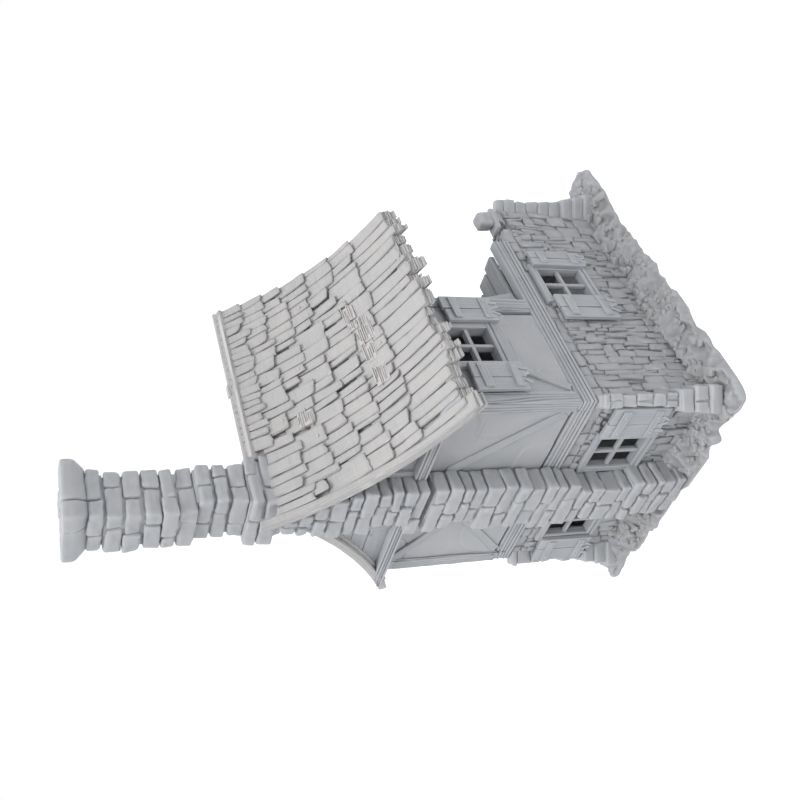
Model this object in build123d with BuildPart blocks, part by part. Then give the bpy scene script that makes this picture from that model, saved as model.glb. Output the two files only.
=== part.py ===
"""Miniature terrain ruin: a stone and timber cottage in four printed stages that lift apart.

X runs along the house from the chimney gable, Y from the front wall to the back wall, Z up.
The origin is the middle of the base's underside. Millimetres.
"""

import os

from build123d import *

# Heights above the table
BASE_TOP = 3.0
FLOOR_TOP = 4.0
STOREY_SEAT = 45.0
SILL_TOP = 51.0
DECK_TOP = 52.0
PLATE_TOP = 92.4
TIE_TOP = 96.0
RIDGE_Z = 142.4
STACK_SEAT = 143.5
STACK_WAIST = 158.2
CAP_BOTTOM = 187.2
CAP_TOP = 194.4

# Plan of the house
GABLE_X = -54.0
UPPER_END_X = -8.0
HOUSE_END_X = 45.0
HALF_DEPTH = 40.0
STONE = 4.5
TIMBER = 4.4
PANEL = 2.6
PANEL_SETBACK = 0.8
FIT = 0.3

# Windows and their shutters
RAIL = 2.4
BAR = 1.4
FRAME_PROUD = 0.8
SHUTTER = 1.4
BATTEN = 0.6

# Roof: its ends, and the curve of its front slope from eave to ridge. The back slope stops at the gable,
# and the front one runs on over the chimney breast
ROOF_X = (-61.7, 26.3)
BACK_ROOF_X = (-55.7, 26.3)
VERGE = 1.5
RIDGE_HALF = 0.9
SLOPE_TOP = [(-47.98, 92.54), (-20.5, 114.0), (-RIDGE_HALF, RIDGE_Z)]
SLOPE_UNDER = [(-45.6, 88.2), (-18.4, 111.2), (-RIDGE_HALF, RIDGE_Z - 5.5)]

# Chimney breast on the gable, and the shaft set back behind it
BREAST_X = (-62.7, GABLE_X)
BREAST_Y = (-11.0, 8.2)
SHAFT_X = (GABLE_X, -40.6)
SHAFT_Y = (-2.0, 15.2)
PLUG = 6.0
PLUG_DEPTH = 4.0

# Door on the back wall, hung on two pintles
DOOR_X = (8.7, 22.3)
DOOR_Z = (4.4, 34.2)
DOOR_Y = (39.4, 41.2)
HINGE = (7.6, 42.0)
HINGE_HEIGHTS = (9.0, 28.0)
PIN_R = 0.6
EYE_R = 0.65

MIN3 = (Align.MIN, Align.MIN, Align.MIN)


def span(x, y, z, mode=Mode.ADD):
    """A box between two values along each axis, added to or cut from the part being built."""
    with Locations((x[0], y[0], z[0])):
        Box(x[1] - x[0], y[1] - y[0], z[1] - z[0], align=MIN3, mode=mode)


def middle(pair):
    """The value halfway along a span."""
    return (pair[0] + pair[1]) / 2


def prism(plane, points, depth, mode=Mode.ADD):
    """A closed outline on a plane, pushed along the plane's normal."""
    with BuildSketch(plane) as outline:
        with BuildLine():
            Polyline(*points, close=True)
        make_face()
    extrude(outline.sketch, amount=depth, mode=mode)


def facing_front(y):
    """The plane at y whose outlines are read as X and Z, pushed towards the front."""
    return Plane(origin=(0, y, 0), x_dir=(1, 0, 0), z_dir=(0, -1, 0))


def across(x):
    """The plane at x whose outlines are read as Y and Z, pushed along +X."""
    return Plane(origin=(x, 0, 0), x_dir=(0, 1, 0), z_dir=(1, 0, 0))


def slope(x, length, side, lift=0.0, mode=Mode.ADD):
    """One curved roof slope, side -1 at the front and 1 at the back, from x onwards."""
    top = [(-side * y, z + lift) for y, z in SLOPE_TOP]
    under = [(-side * y, z) for y, z in SLOPE_UNDER]
    with BuildSketch(across(x)) as section:
        with BuildLine():
            ThreePointArc(*top)
            Line(top[2], under[2])
            ThreePointArc(*reversed(under))
            Line(under[0], top[0])
        make_face()
    extrude(section.sketch, amount=length, mode=mode)


def attic(x, thickness, bottom, half, gap=0.0):
    """What fills the section under both slopes, above a level and between two sides."""
    front = [(y, z - gap) for y, z in SLOPE_UNDER]
    back = [(-y, z) for y, z in reversed(front)]
    with BuildSketch(across(x)) as section:
        with BuildLine():
            ThreePointArc(*front)
            Line(front[2], back[0])
            ThreePointArc(*back)
            Line(back[2], front[0])
        make_face()
        with Locations((0, bottom)):
            Rectangle(2 * half, RIDGE_Z, align=(Align.CENTER, Align.MIN), mode=Mode.INTERSECT)
    extrude(section.sketch, amount=thickness)


def attic_frame(x, thickness, bottom, half, width):
    """An A-frame under the slopes: two curved rafters and the tie between their feet."""
    front = list(SLOPE_UNDER)
    back = [(-y, z) for y, z in reversed(front)]
    with BuildSketch(across(x)) as section:
        with BuildLine():
            ThreePointArc(*front)
            Line(front[2], back[0])
            ThreePointArc(*back)
            Line(back[2], front[0])
        make_face()
        with Locations((0, bottom)):
            Rectangle(2 * half, RIDGE_Z, align=(Align.CENTER, Align.MIN), mode=Mode.INTERSECT)
        offset(amount=-width, kind=Kind.INTERSECTION, mode=Mode.SUBTRACT)
    extrude(section.sketch, amount=thickness)


def courses(x, y, levels, insets):
    """Courses of stone one above another, each drawn in by its own amount on every side."""
    for level, (low, high) in enumerate(zip(levels, levels[1:])):
        inset = insets[level % len(insets)]
        span((x[0] + inset, x[1] - inset), (y[0] + inset, y[1] - inset), (low, high))


def levels_between(low, high, count):
    """The heights that divide a wall into equal courses."""
    return [low + (high - low) * i / count for i in range(count + 1)]


def window_frame(plane, width, height, depth, rail, bar):
    """A frame with a cross of glazing bars, centred on its plane and pushed along its normal."""
    pane_w = (width - 2 * rail - bar) / 2
    pane_h = (height - 2 * rail - bar) / 2
    with BuildSketch(plane) as frame:
        Rectangle(width, height)
        with GridLocations(pane_w + bar, pane_h + bar, 2, 2):
            Rectangle(pane_w, pane_h, mode=Mode.SUBTRACT)
    extrude(frame.sketch, amount=depth)


def shutter(plane, width, height):
    """A boarded shutter with two battens, its back on the plane."""
    with BuildSketch(plane) as boards:
        Rectangle(width, height)
    extrude(boards.sketch, amount=SHUTTER)
    with BuildSketch(plane.offset(SHUTTER)) as battens:
        with GridLocations(width, height * 0.62, 1, 2):
            Rectangle(width - 1.0, 2.4)
    extrude(battens.sketch, amount=BATTEN)


def save(piece, label):
    """Names a finished piece and writes its file."""
    piece.part.label = label
    export_step(piece.part, f"parts/{label}.step")


os.makedirs("parts", exist_ok=True)

# ---------------------------------------------------------------- ground storey

BASE_OUTLINE = [
    (-64.0, -9.0), (-62.6, -19.0), (-63.4, -31.0), (-61.5, -42.0), (-59.0, -50.5), (-48.0, -48.6),
    (-35.0, -50.5), (-20.0, -48.8), (-4.0, -50.2), (13.0, -48.4), (29.0, -49.8), (44.0, -47.2),
    (57.0, -48.0), (64.0, -41.5), (61.5, -24.0), (63.4, -6.0), (61.0, 13.0), (63.0, 30.0),
    (60.0, 45.0), (49.0, 50.5), (31.0, 48.8), (12.0, 50.2), (-8.0, 48.6), (-27.0, 50.3),
    (-45.0, 48.8), (-58.5, 50.0), (-61.5, 38.0), (-60.0, 24.0), (-63.6, 11.0),
]
BASE_STEP = 1.2
with BuildPart() as base_slab:
    prism(Plane.XY, BASE_OUTLINE, BASE_TOP / 2)
    with BuildSketch(Plane.XY.offset(BASE_TOP / 2)):
        with BuildLine():
            Polyline(*BASE_OUTLINE, close=True)
        make_face()
        offset(amount=-BASE_STEP, kind=Kind.INTERSECTION, mode=Mode.REPLACE)
    extrude(amount=BASE_TOP / 2)
save(base_slab, "base_slab")

BANK_TOP = 6.0
BANK_REACH = 5.5
BANK_GAP = 6.6
with BuildPart() as turf_bank:
    # strips between the corner piers, the chimney breast and the doorway
    front_strip = ((GABLE_X + BANK_GAP, -HALF_DEPTH - BANK_REACH), (HOUSE_END_X - BANK_GAP, -HALF_DEPTH))
    back_left = ((GABLE_X + BANK_GAP, HALF_DEPTH), (2.0, HALF_DEPTH + BANK_REACH))
    back_right = ((29.0, HALF_DEPTH), (HOUSE_END_X - BANK_GAP, HALF_DEPTH + BANK_REACH))
    gable_near = ((GABLE_X - BANK_REACH, -HALF_DEPTH + BANK_GAP), (GABLE_X, BREAST_Y[0] - 0.6))
    gable_far = ((GABLE_X - BANK_REACH, BREAST_Y[1] + 0.6), (GABLE_X, HALF_DEPTH - BANK_GAP))
    end_strip = ((HOUSE_END_X, -HALF_DEPTH + BANK_GAP), (HOUSE_END_X + BANK_REACH, HALF_DEPTH - BANK_GAP))
    for low, high in (front_strip, back_left, back_right, gable_near, gable_far, end_strip):
        span((low[0], high[0]), (low[1], high[1]), (BASE_TOP, BANK_TOP))
save(turf_bank, "turf_bank")

ROOM_X = (GABLE_X + STONE, HOUSE_END_X - STONE)
ROOM_Y = (-HALF_DEPTH + STONE, HALF_DEPTH - STONE)
FLAG = 9.0
with BuildPart() as floor_flags:
    span(ROOM_X, ROOM_Y, (BASE_TOP, FLOOR_TOP))
    for x in range(1, int((ROOM_X[1] - ROOM_X[0]) // FLAG) + 1):
        cut = ROOM_X[0] + x * FLAG
        span((cut - 0.2, cut + 0.2), ROOM_Y, (FLOOR_TOP - 0.4, FLOOR_TOP), mode=Mode.SUBTRACT)
save(floor_flags, "floor_flags")

# Front wall: whole under the upper storey, broken down towards its free end
FRONT_TOP = [
    (HOUSE_END_X, 41.0), (42.0, 41.0), (41.5, 43.5), (36.0, 43.5), (35.0, 41.0), (32.5, 41.0),
    (31.5, STOREY_SEAT), (GABLE_X, STOREY_SEAT),
]
FRONT_WINDOW = ((-9.0, 10.0), (21.5, 43.0))
with BuildPart() as wall_front:
    outline = [(GABLE_X, BASE_TOP), (HOUSE_END_X, BASE_TOP)] + FRONT_TOP
    prism(facing_front(ROOM_Y[0]), outline, STONE)
    span(FRONT_WINDOW[0], (-HALF_DEPTH, ROOM_Y[0]), FRONT_WINDOW[1], mode=Mode.SUBTRACT)
save(wall_front, "stone_wall_front")

BACK_TOP = [(HOUSE_END_X, 39.0), (38.0, 39.0), (34.0, 42.0), (27.0, 42.0), (25.0, STOREY_SEAT),
            (GABLE_X, STOREY_SEAT)]
DOOR_FRAME_X = (6.0, 25.0)
DOOR_FRAME_TOP = 37.0
with BuildPart() as wall_back:
    outline = [(GABLE_X, BASE_TOP), (HOUSE_END_X, BASE_TOP)] + BACK_TOP
    prism(facing_front(HALF_DEPTH), outline, STONE)
    span(DOOR_FRAME_X, (ROOM_Y[1], HALF_DEPTH), (FLOOR_TOP, DOOR_FRAME_TOP), mode=Mode.SUBTRACT)
save(wall_back, "stone_wall_back")

NEAR_WINDOW = ((-25.6, -7.4), (16.4, 38.7))
FAR_WINDOW = ((10.8, 29.0), (16.4, 38.7))
with BuildPart() as wall_gable:
    span((GABLE_X, ROOM_X[0]), ROOM_Y, (BASE_TOP, STOREY_SEAT))
    for hole in (NEAR_WINDOW, FAR_WINDOW):
        span((GABLE_X, ROOM_X[0]), hole[0], hole[1], mode=Mode.SUBTRACT)
save(wall_gable, "stone_wall_gable")

END_TOP = [(ROOM_Y[1], 39.0), (22.0, 36.0), (12.0, 30.0), (-4.0, 27.5), (-16.0, 31.0),
           (-25.0, 37.0), (ROOM_Y[0], 41.0)]
with BuildPart() as wall_end:
    outline = [(ROOM_Y[0], BASE_TOP), (ROOM_Y[1], BASE_TOP)] + END_TOP
    prism(across(ROOM_X[1]), outline, STONE)
save(wall_end, "stone_wall_end")

# Shutters, folded back beside the windows and fixed there
FRONT_FACE = -HALF_DEPTH - FRAME_PROUD
GABLE_FACE = GABLE_X - FRAME_PROUD
FRONT_SHUTTERS = {
    "shutter_ground_left": ((-18.3, -7.0), (19.7, 41.4)),
    "shutter_ground_right": ((8.2, 15.6), (21.0, 42.0)),
    "shutter_upper_left": ((-50.3, -39.0), (66.4, 84.0)),
    "shutter_upper_right": ((-20.8, -10.0), (65.6, 83.5)),
}
GABLE_SHUTTERS = {
    "shutter_gable_near": ((-38.2, -25.0), (17.9, 38.7)),
    "shutter_gable_far": ((27.6, 39.4), (16.4, 37.0)),
}

# Corner piers: narrow at the waist, spread at the foot and at the head
PIER_SECTIONS = ((BASE_TOP, 9.4, 5.2), (14.0, 6.6, 3.2), (26.0, 5.0, 2.0), (43.6, 5.8, 2.6))
PIER_ROOT = 7.0
PIERS = {
    "corner_pier_near": (GABLE_X, -HALF_DEPTH, -135),
    "corner_pier_far": (GABLE_X, HALF_DEPTH, 135),
    "corner_pier_end_front": (HOUSE_END_X, -HALF_DEPTH, -45),
    "corner_pier_end_back": (HOUSE_END_X, HALF_DEPTH, 45),
}
for label, (x, y, heading) in PIERS.items():
    with BuildPart() as pier:
        for height, width, reach in PIER_SECTIONS:
            foot = Plane(origin=(x, y, height)).rotated((0, 0, heading))
            with BuildSketch(foot):
                with Locations((reach, 0)):
                    Rectangle(reach + PIER_ROOT, width, align=(Align.MAX, Align.CENTER))
        loft(ruled=True)
        span((GABLE_X, HOUSE_END_X), (-HALF_DEPTH, HALF_DEPTH), (0, STOREY_SEAT), mode=Mode.SUBTRACT)
        for shutter_y, shutter_z in GABLE_SHUTTERS.values():
            span((GABLE_FACE - SHUTTER - BATTEN, GABLE_X), shutter_y, shutter_z, mode=Mode.SUBTRACT)
    save(pier, label)

with BuildPart() as wall_block:
    span((31.8, 41.6), (-HALF_DEPTH - 0.6, ROOM_Y[0]), (STOREY_SEAT, 46.4))
    span((33.6, 40.6), (-HALF_DEPTH - 0.2, ROOM_Y[0] - 0.2), (46.4, 51.6))
    span((36.0, 41.5), (-HALF_DEPTH, ROOM_Y[0]), (43.5, STOREY_SEAT))
save(wall_block, "wall_top_block")

# Chimney breast of the ground storey, spread at its foot
BREAST_INSETS = (0.0, 0.5, 0.2, 0.7)
with BuildPart() as chimney_lower:
    span((BREAST_X[0] - 0.6, BREAST_X[1]), (BREAST_Y[0], BREAST_Y[1] + 0.4), (BASE_TOP, 9.0))
    for low, high in zip(levels_between(9.0, STOREY_SEAT, 8), levels_between(9.0, STOREY_SEAT, 8)[1:]):
        inset = BREAST_INSETS[round(low) % 4]
        span((BREAST_X[0] + inset, BREAST_X[1]), (-7.2 + inset, 8.2 - inset), (low, high))
save(chimney_lower, "chimney_breast_lower")

# Windows of the ground storey
def long_side_frame(hole, inner, outer):
    """A frame in a front or back wall, from its inner face out to its outer face."""
    centre = (middle(hole[0]), inner, middle(hole[1]))
    facing = -1 if outer < inner else 1
    plane = Plane(origin=centre, x_dir=(1, 0, 0), z_dir=(0, facing, 0))
    window_frame(plane, hole[0][1] - hole[0][0], hole[1][1] - hole[1][0], abs(outer - inner), RAIL, BAR)


def gable_frame(hole, inner, outer):
    """A frame in the gable wall, from its inner face out to its outer face."""
    plane = Plane(origin=(inner, middle(hole[0]), middle(hole[1])), x_dir=(0, 1, 0), z_dir=(-1, 0, 0))
    window_frame(plane, hole[0][1] - hole[0][0], hole[1][1] - hole[1][0], abs(outer - inner), RAIL, BAR)


with BuildPart() as window_front:
    long_side_frame(FRONT_WINDOW, -HALF_DEPTH + 2.6, -HALF_DEPTH - FRAME_PROUD)
save(window_front, "window_ground_front")
with BuildPart() as window_near:
    gable_frame(NEAR_WINDOW, GABLE_X + 2.6, GABLE_X - FRAME_PROUD)
save(window_near, "window_gable_near")
with BuildPart() as window_far:
    gable_frame(FAR_WINDOW, GABLE_X + 2.6, GABLE_X - FRAME_PROUD)
save(window_far, "window_gable_far")

# The shutters stand off the wall by the thickness of the frames that carry them
for label, (x, z) in FRONT_SHUTTERS.items():
    with BuildPart() as leaf:
        back = Plane(origin=(middle(x), FRONT_FACE, middle(z)), x_dir=(1, 0, 0), z_dir=(0, -1, 0))
        shutter(back, x[1] - x[0], z[1] - z[0])
    save(leaf, label)
for label, (y, z) in GABLE_SHUTTERS.items():
    with BuildPart() as leaf:
        back = Plane(origin=(GABLE_FACE, middle(y), middle(z)), x_dir=(0, 1, 0), z_dir=(-1, 0, 0))
        shutter(back, y[1] - y[0], z[1] - z[0])
    save(leaf, label)

# ---------------------------------------------------------------- door

with BuildPart() as door_frame:
    span(DOOR_FRAME_X, (ROOM_Y[1], HALF_DEPTH + 0.4), (FLOOR_TOP, DOOR_FRAME_TOP))
    span((8.5, 22.5), (ROOM_Y[1], HALF_DEPTH + 0.4), (FLOOR_TOP, 34.4), mode=Mode.SUBTRACT)
    for height in HINGE_HEIGHTS:
        span((6.4, 8.4), (HALF_DEPTH + 0.4, HINGE[1] + 0.6), (height - 1.6, height - 0.15))
        with Locations((HINGE[0], HINGE[1], height - 0.5)):
            Cylinder(PIN_R, 3.0, align=(Align.CENTER, Align.CENTER, Align.MIN))
save(door_frame, "door_frame")

DOOR_BOARDS = 4
with BuildPart() as door_leaf:
    span(DOOR_X, DOOR_Y, DOOR_Z)
    for i in range(1, DOOR_BOARDS):
        joint = DOOR_X[0] + (DOOR_X[1] - DOOR_X[0]) * i / DOOR_BOARDS
        span((joint - 0.15, joint + 0.15), (DOOR_Y[1] - 0.4, DOOR_Y[1]), DOOR_Z, mode=Mode.SUBTRACT)
save(door_leaf, "door_boards")

with BuildPart() as door_straps:
    for height in HINGE_HEIGHTS:
        span((HINGE[0], 20.0), (DOOR_Y[1], DOOR_Y[1] + 0.6), (height, height + 1.8))
        with Locations((HINGE[0], HINGE[1], height)):
            Cylinder(1.2, 1.8, align=(Align.CENTER, Align.CENTER, Align.MIN))
    for height in HINGE_HEIGHTS:
        with Locations((HINGE[0], HINGE[1], height - 1.0)):
            Cylinder(EYE_R, 4.0, align=(Align.CENTER, Align.CENTER, Align.MIN), mode=Mode.SUBTRACT)
save(door_straps, "door_strap_hinges")

with BuildPart() as door_ring:
    ring_plane = Plane(origin=(19.8, DOOR_Y[1] + 0.4, 18.0), x_dir=(1, 0, 0), z_dir=(0, 1, 0))
    span((19.0, 20.6), (DOOR_Y[1], DOOR_Y[1] + 0.4), (18.6, 20.6))
    with BuildSketch(ring_plane.offset(-0.4)):
        with Locations((0, 0.2)):
            Circle(1.5)
            Circle(0.9, mode=Mode.SUBTRACT)
    extrude(amount=0.7)
save(door_ring, "door_ring")

# ---------------------------------------------------------------- upper storey

DECK_END_X = 23.6
INNER_Y = HALF_DEPTH - TIMBER
with BuildPart() as sill_front:
    span((GABLE_X, DECK_END_X), (-HALF_DEPTH, -INNER_Y), (STOREY_SEAT, SILL_TOP))
save(sill_front, "sill_beam_front")
with BuildPart() as sill_back:
    span((GABLE_X, DECK_END_X), (INNER_Y, HALF_DEPTH), (STOREY_SEAT, SILL_TOP))
save(sill_back, "sill_beam_back")
with BuildPart() as sill_gable:
    span((GABLE_X, GABLE_X + TIMBER), (-INNER_Y, INNER_Y), (STOREY_SEAT, SILL_TOP))
save(sill_gable, "sill_beam_gable")

JOIST = 3.2
JOIST_PITCH = 11.9
JOIST_DROP = 2.5
JOIST_Y = (ROOM_Y[0] + FIT, ROOM_Y[1] - FIT)
with BuildPart() as joists:
    for i in range(6):
        x = GABLE_X + TIMBER + 0.7 + i * JOIST_PITCH
        span((x, x + JOIST), JOIST_Y, (STOREY_SEAT - JOIST_DROP, SILL_TOP - 1.0))
save(joists, "floor_joists")

# Floor boards run along the house; past the upper room they are broken off unevenly
BOARD_ENDS = (20.5, 19.0, 15.5, 8.0, 3.5, -1.0, 1.5, 6.0, 11.0, 9.5, 13.0)
BOARD_GAP = 0.4
board_width = 2 * INNER_Y / len(BOARD_ENDS)
with BuildPart() as boards:
    for i, end in enumerate(BOARD_ENDS):
        low = -INNER_Y + i * board_width
        span((GABLE_X + TIMBER, end), (low + BOARD_GAP / 2, low + board_width - BOARD_GAP / 2),
             (SILL_TOP - 1.0, DECK_TOP))
save(boards, "floor_boards")

POST_TOP = 89.4
POST_X = ((GABLE_X, GABLE_X + TIMBER), (UPPER_END_X - TIMBER, UPPER_END_X))
with BuildPart() as posts_front:
    for x in POST_X:
        span(x, (-HALF_DEPTH, -INNER_Y), (SILL_TOP, POST_TOP))
save(posts_front, "corner_posts_front")
with BuildPart() as posts_back:
    for x in POST_X:
        span(x, (INNER_Y, HALF_DEPTH), (SILL_TOP, POST_TOP))
save(posts_back, "corner_posts_back")
PLATE_BEVEL = 2.2
with BuildPart() as plate_front:
    span((GABLE_X, UPPER_END_X), (-HALF_DEPTH, -INNER_Y), (POST_TOP, PLATE_TOP))
    upper_edges = plate_front.edges().filter_by(Axis.X).group_by(Axis.Z)[-1]
    chamfer(upper_edges.sort_by(Axis.Y)[0], length=PLATE_BEVEL)
save(plate_front, "wall_plate_front")
with BuildPart() as plate_back:
    span((GABLE_X, UPPER_END_X), (INNER_Y, HALF_DEPTH), (POST_TOP, PLATE_TOP))
    upper_edges = plate_back.edges().filter_by(Axis.X).group_by(Axis.Z)[-1]
    chamfer(upper_edges.sort_by(Axis.Y)[-1], length=PLATE_BEVEL)
save(plate_back, "wall_plate_back")

UPPER_WINDOW = ((-39.6, -20.2), (68.1, 87.4))
BAY_X = (POST_X[0][1], POST_X[1][0])
PANEL_Y = HALF_DEPTH - PANEL_SETBACK
for label, outer in (("plaster_front", -PANEL_Y), ("plaster_back", PANEL_Y)):
    with BuildPart() as panel:
        inner = outer + PANEL if outer < 0 else outer - PANEL
        y = (min(inner, outer), max(inner, outer))
        span(BAY_X, y, (SILL_TOP, POST_TOP))
        span(UPPER_WINDOW[0], y, UPPER_WINDOW[1], mode=Mode.SUBTRACT)
    save(panel, label)

GABLE_PANEL_X = (GABLE_X + PANEL_SETBACK, GABLE_X + PANEL_SETBACK + PANEL)
with BuildPart() as plaster_gable:
    span(GABLE_PANEL_X, (-INNER_Y, INNER_Y), (SILL_TOP, PLATE_TOP))
    span(GABLE_PANEL_X, (-INNER_Y, INNER_Y), (SILL_TOP, DECK_TOP), mode=Mode.SUBTRACT)
save(plaster_gable, "plaster_gable")

END_PANEL_X = (UPPER_END_X - PANEL_SETBACK - PANEL, UPPER_END_X - PANEL_SETBACK)
END_DOOR = ((-8.0, 8.0), (DECK_TOP, 82.0))
with BuildPart() as plaster_end:
    span(END_PANEL_X, (-INNER_Y, INNER_Y), (DECK_TOP, PLATE_TOP))
    span(END_PANEL_X, END_DOOR[0], END_DOOR[1], mode=Mode.SUBTRACT)
save(plaster_end, "plaster_end")

# Braces lie on the plaster between the timbers
BRACE = 2.6
with BuildPart() as braces_front:
    prism(facing_front(-PANEL_Y), [(-49.6, 51.0), (-46.0, 51.0), (-38.6, 64.0), (-41.6, 65.6)],
          PANEL_SETBACK)
save(braces_front, "braces_front")
with BuildPart() as braces_back:
    for mirror in (1, -1):
        centre = middle((GABLE_X, UPPER_END_X))
        outline = [(-18.4, 51.0), (-14.8, 51.0), (-10.5, 62.0), (-13.5, 64.0)]
        shape = [(centre + mirror * x, z) for x, z in outline]
        prism(facing_front(HALF_DEPTH), shape, PANEL_SETBACK)
save(braces_back, "braces_back")
with BuildPart() as braces_gable:
    near = [(-11.2, 86.0), (-11.2, 80.5), (-33.6, DECK_TOP), (-35.6, DECK_TOP), (-35.6, 58.0)]
    high = [(35.4, PLATE_TOP), (32.2, PLATE_TOP), (9.2, 74.0), (9.2, 70.4)]
    low = [(35.4, DECK_TOP), (32.0, DECK_TOP), (20.0, 76.8), (22.6, 79.2)]
    prism(across(GABLE_X), near, PANEL_SETBACK)
    prism(across(GABLE_X), high, PANEL_SETBACK)
    prism(across(GABLE_X), low, PANEL_SETBACK)
save(braces_gable, "braces_gable")
with BuildPart() as braces_end:
    for mirror in (1, -1):
        jamb = [(8.2, DECK_TOP), (10.8, DECK_TOP), (10.8, PLATE_TOP), (8.2, PLATE_TOP)]
        leg = [(35.4, DECK_TOP), (32.0, DECK_TOP), (10.9, 80.0), (10.9, 84.5)]
        for outline in (jamb, leg):
            prism(across(END_PANEL_X[1]), [(mirror * y, z) for y, z in outline], PANEL_SETBACK)
save(braces_end, "braces_end")

with BuildPart() as chimney_middle:
    rows = levels_between(STOREY_SEAT, PLATE_TOP, 10)
    for low, high in zip(rows, rows[1:]):
        inset = BREAST_INSETS[round(low) % 4]
        span((BREAST_X[0] + inset, BREAST_X[1]), (BREAST_Y[0] + inset, BREAST_Y[1] - inset), (low, high))
save(chimney_middle, "chimney_breast_middle")

with BuildPart() as window_upper_front:
    long_side_frame(UPPER_WINDOW, -HALF_DEPTH + 3.4, -HALF_DEPTH - FRAME_PROUD)
save(window_upper_front, "window_upper_front")
with BuildPart() as window_upper_back:
    long_side_frame(UPPER_WINDOW, HALF_DEPTH - 3.4, HALF_DEPTH + FRAME_PROUD)
save(window_upper_back, "window_upper_back")

with BuildPart() as raking_brace:
    prism(facing_front(-INNER_Y), [(UPPER_END_X, 62.6), (UPPER_END_X, 66.0), (-5.2, 65.0), (0.2, SILL_TOP),
                                   (-5.2, SILL_TOP)], 3.0)
save(raking_brace, "raking_brace")

# ---------------------------------------------------------------- roof

# The chimney comes up through the back slope; the front slope runs over its near side
COLLAR_X = (-55.8, -38.0)
COLLAR_Y = (-3.1, 18.0)
COLLAR_BOTTOM = 135.3
with BuildPart() as slope_front:
    slope(ROOF_X[0], ROOF_X[1] - ROOF_X[0], -1)
save(slope_front, "roof_slope_front")
with BuildPart() as slope_back:
    slope(BACK_ROOF_X[0], BACK_ROOF_X[1] - BACK_ROOF_X[0], 1)
    span((ROOF_X[0], GABLE_X), (0, BREAST_Y[1]), (PLATE_TOP, RIDGE_Z), mode=Mode.SUBTRACT)
    span(SHAFT_X, (0, SHAFT_Y[1]), (PLATE_TOP, RIDGE_Z), mode=Mode.SUBTRACT)
save(slope_back, "roof_slope_back")

RIDGE_RISE = 0.2
with BuildPart() as ridge_board:
    span((COLLAR_X[1], ROOF_X[1] + VERGE), (-RIDGE_HALF, RIDGE_HALF), (RIDGE_Z - 5.5, RIDGE_Z + RIDGE_RISE))
save(ridge_board, "ridge_board")

BARGE_RISE = 0.8
with BuildPart() as barge_boards:
    for side, ends in ((-1, ROOF_X), (1, BACK_ROOF_X)):
        slope(ends[0] - VERGE, VERGE, side, lift=BARGE_RISE)
        slope(ends[1], VERGE, side, lift=BARGE_RISE)
    back_barge_x = (BACK_ROOF_X[0] - VERGE, BACK_ROOF_X[0])
    span(back_barge_x, (0, BREAST_Y[1]), (PLATE_TOP, RIDGE_Z + 2), mode=Mode.SUBTRACT)
    span(back_barge_x, COLLAR_Y, (COLLAR_BOTTOM, RIDGE_Z + 2), mode=Mode.SUBTRACT)
save(barge_boards, "barge_boards")

TRUSS_FOOT = 90.6
TRUSS_X = (-34.0, -21.5, 3.0, 20.0)
with BuildPart() as trusses:
    for x in TRUSS_X:
        attic_frame(x, 3.0, TRUSS_FOOT, INNER_Y - FIT, 3.4)
save(trusses, "roof_trusses")

TIE_HALF = 42.5
with BuildPart() as tie_beams:
    for x in (GABLE_X - 0.9, UPPER_END_X - TIMBER):
        span((x, x + TIMBER), (-TIE_HALF, TIE_HALF), (PLATE_TOP, TIE_TOP))
    for half in (slope_front, slope_back):
        add(half.part, mode=Mode.SUBTRACT)
    for side in (-1, 1):
        slope(ROOF_X[0], ROOF_X[1] - ROOF_X[0], side, lift=RIDGE_Z, mode=Mode.SUBTRACT)
    span(BREAST_X, BREAST_Y, (PLATE_TOP, TIE_TOP), mode=Mode.SUBTRACT)
    span(SHAFT_X, SHAFT_Y, (PLATE_TOP, TIE_TOP), mode=Mode.SUBTRACT)
save(tie_beams, "tie_beams")

GABLE_BOARD = 3.0
with BuildPart() as gable_boards:
    attic(GABLE_X, GABLE_BOARD, TIE_TOP, HALF_DEPTH)
    span(SHAFT_X, SHAFT_Y, (PLATE_TOP, RIDGE_Z), mode=Mode.SUBTRACT)
save(gable_boards, "gable_boards")
with BuildPart() as end_boards:
    attic(UPPER_END_X - GABLE_BOARD, GABLE_BOARD, TIE_TOP, HALF_DEPTH)
save(end_boards, "end_gable_boards")

SOCKET = PLUG + 2 * FIT
with BuildPart() as chimney_upper:
    rows = levels_between(PLATE_TOP, COLLAR_BOTTOM, 9)
    for low, high in zip(rows, rows[1:]):
        inset = BREAST_INSETS[round(low) % 4]
        span((BREAST_X[0] + inset, GABLE_X), (BREAST_Y[0] + inset, BREAST_Y[1] - inset), (low, high))
    slope(BREAST_X[0], BREAST_X[1] - BREAST_X[0], -1, lift=RIDGE_Z, mode=Mode.SUBTRACT)
    span(SHAFT_X, SHAFT_Y, (PLATE_TOP, COLLAR_BOTTOM))
    courses(COLLAR_X, COLLAR_Y, (COLLAR_BOTTOM, 139.4, STACK_SEAT), (0.5, 0.0))
    for half in (slope_front, slope_back, barge_boards):
        add(half.part, mode=Mode.SUBTRACT)
    with Locations((middle(SHAFT_X), middle(SHAFT_Y), STACK_SEAT)):
        Box(SOCKET, SOCKET, 2 * (PLUG_DEPTH + 0.5), mode=Mode.SUBTRACT)
save(chimney_upper, "chimney_breast_upper")

# ---------------------------------------------------------------- chimney stack

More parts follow.
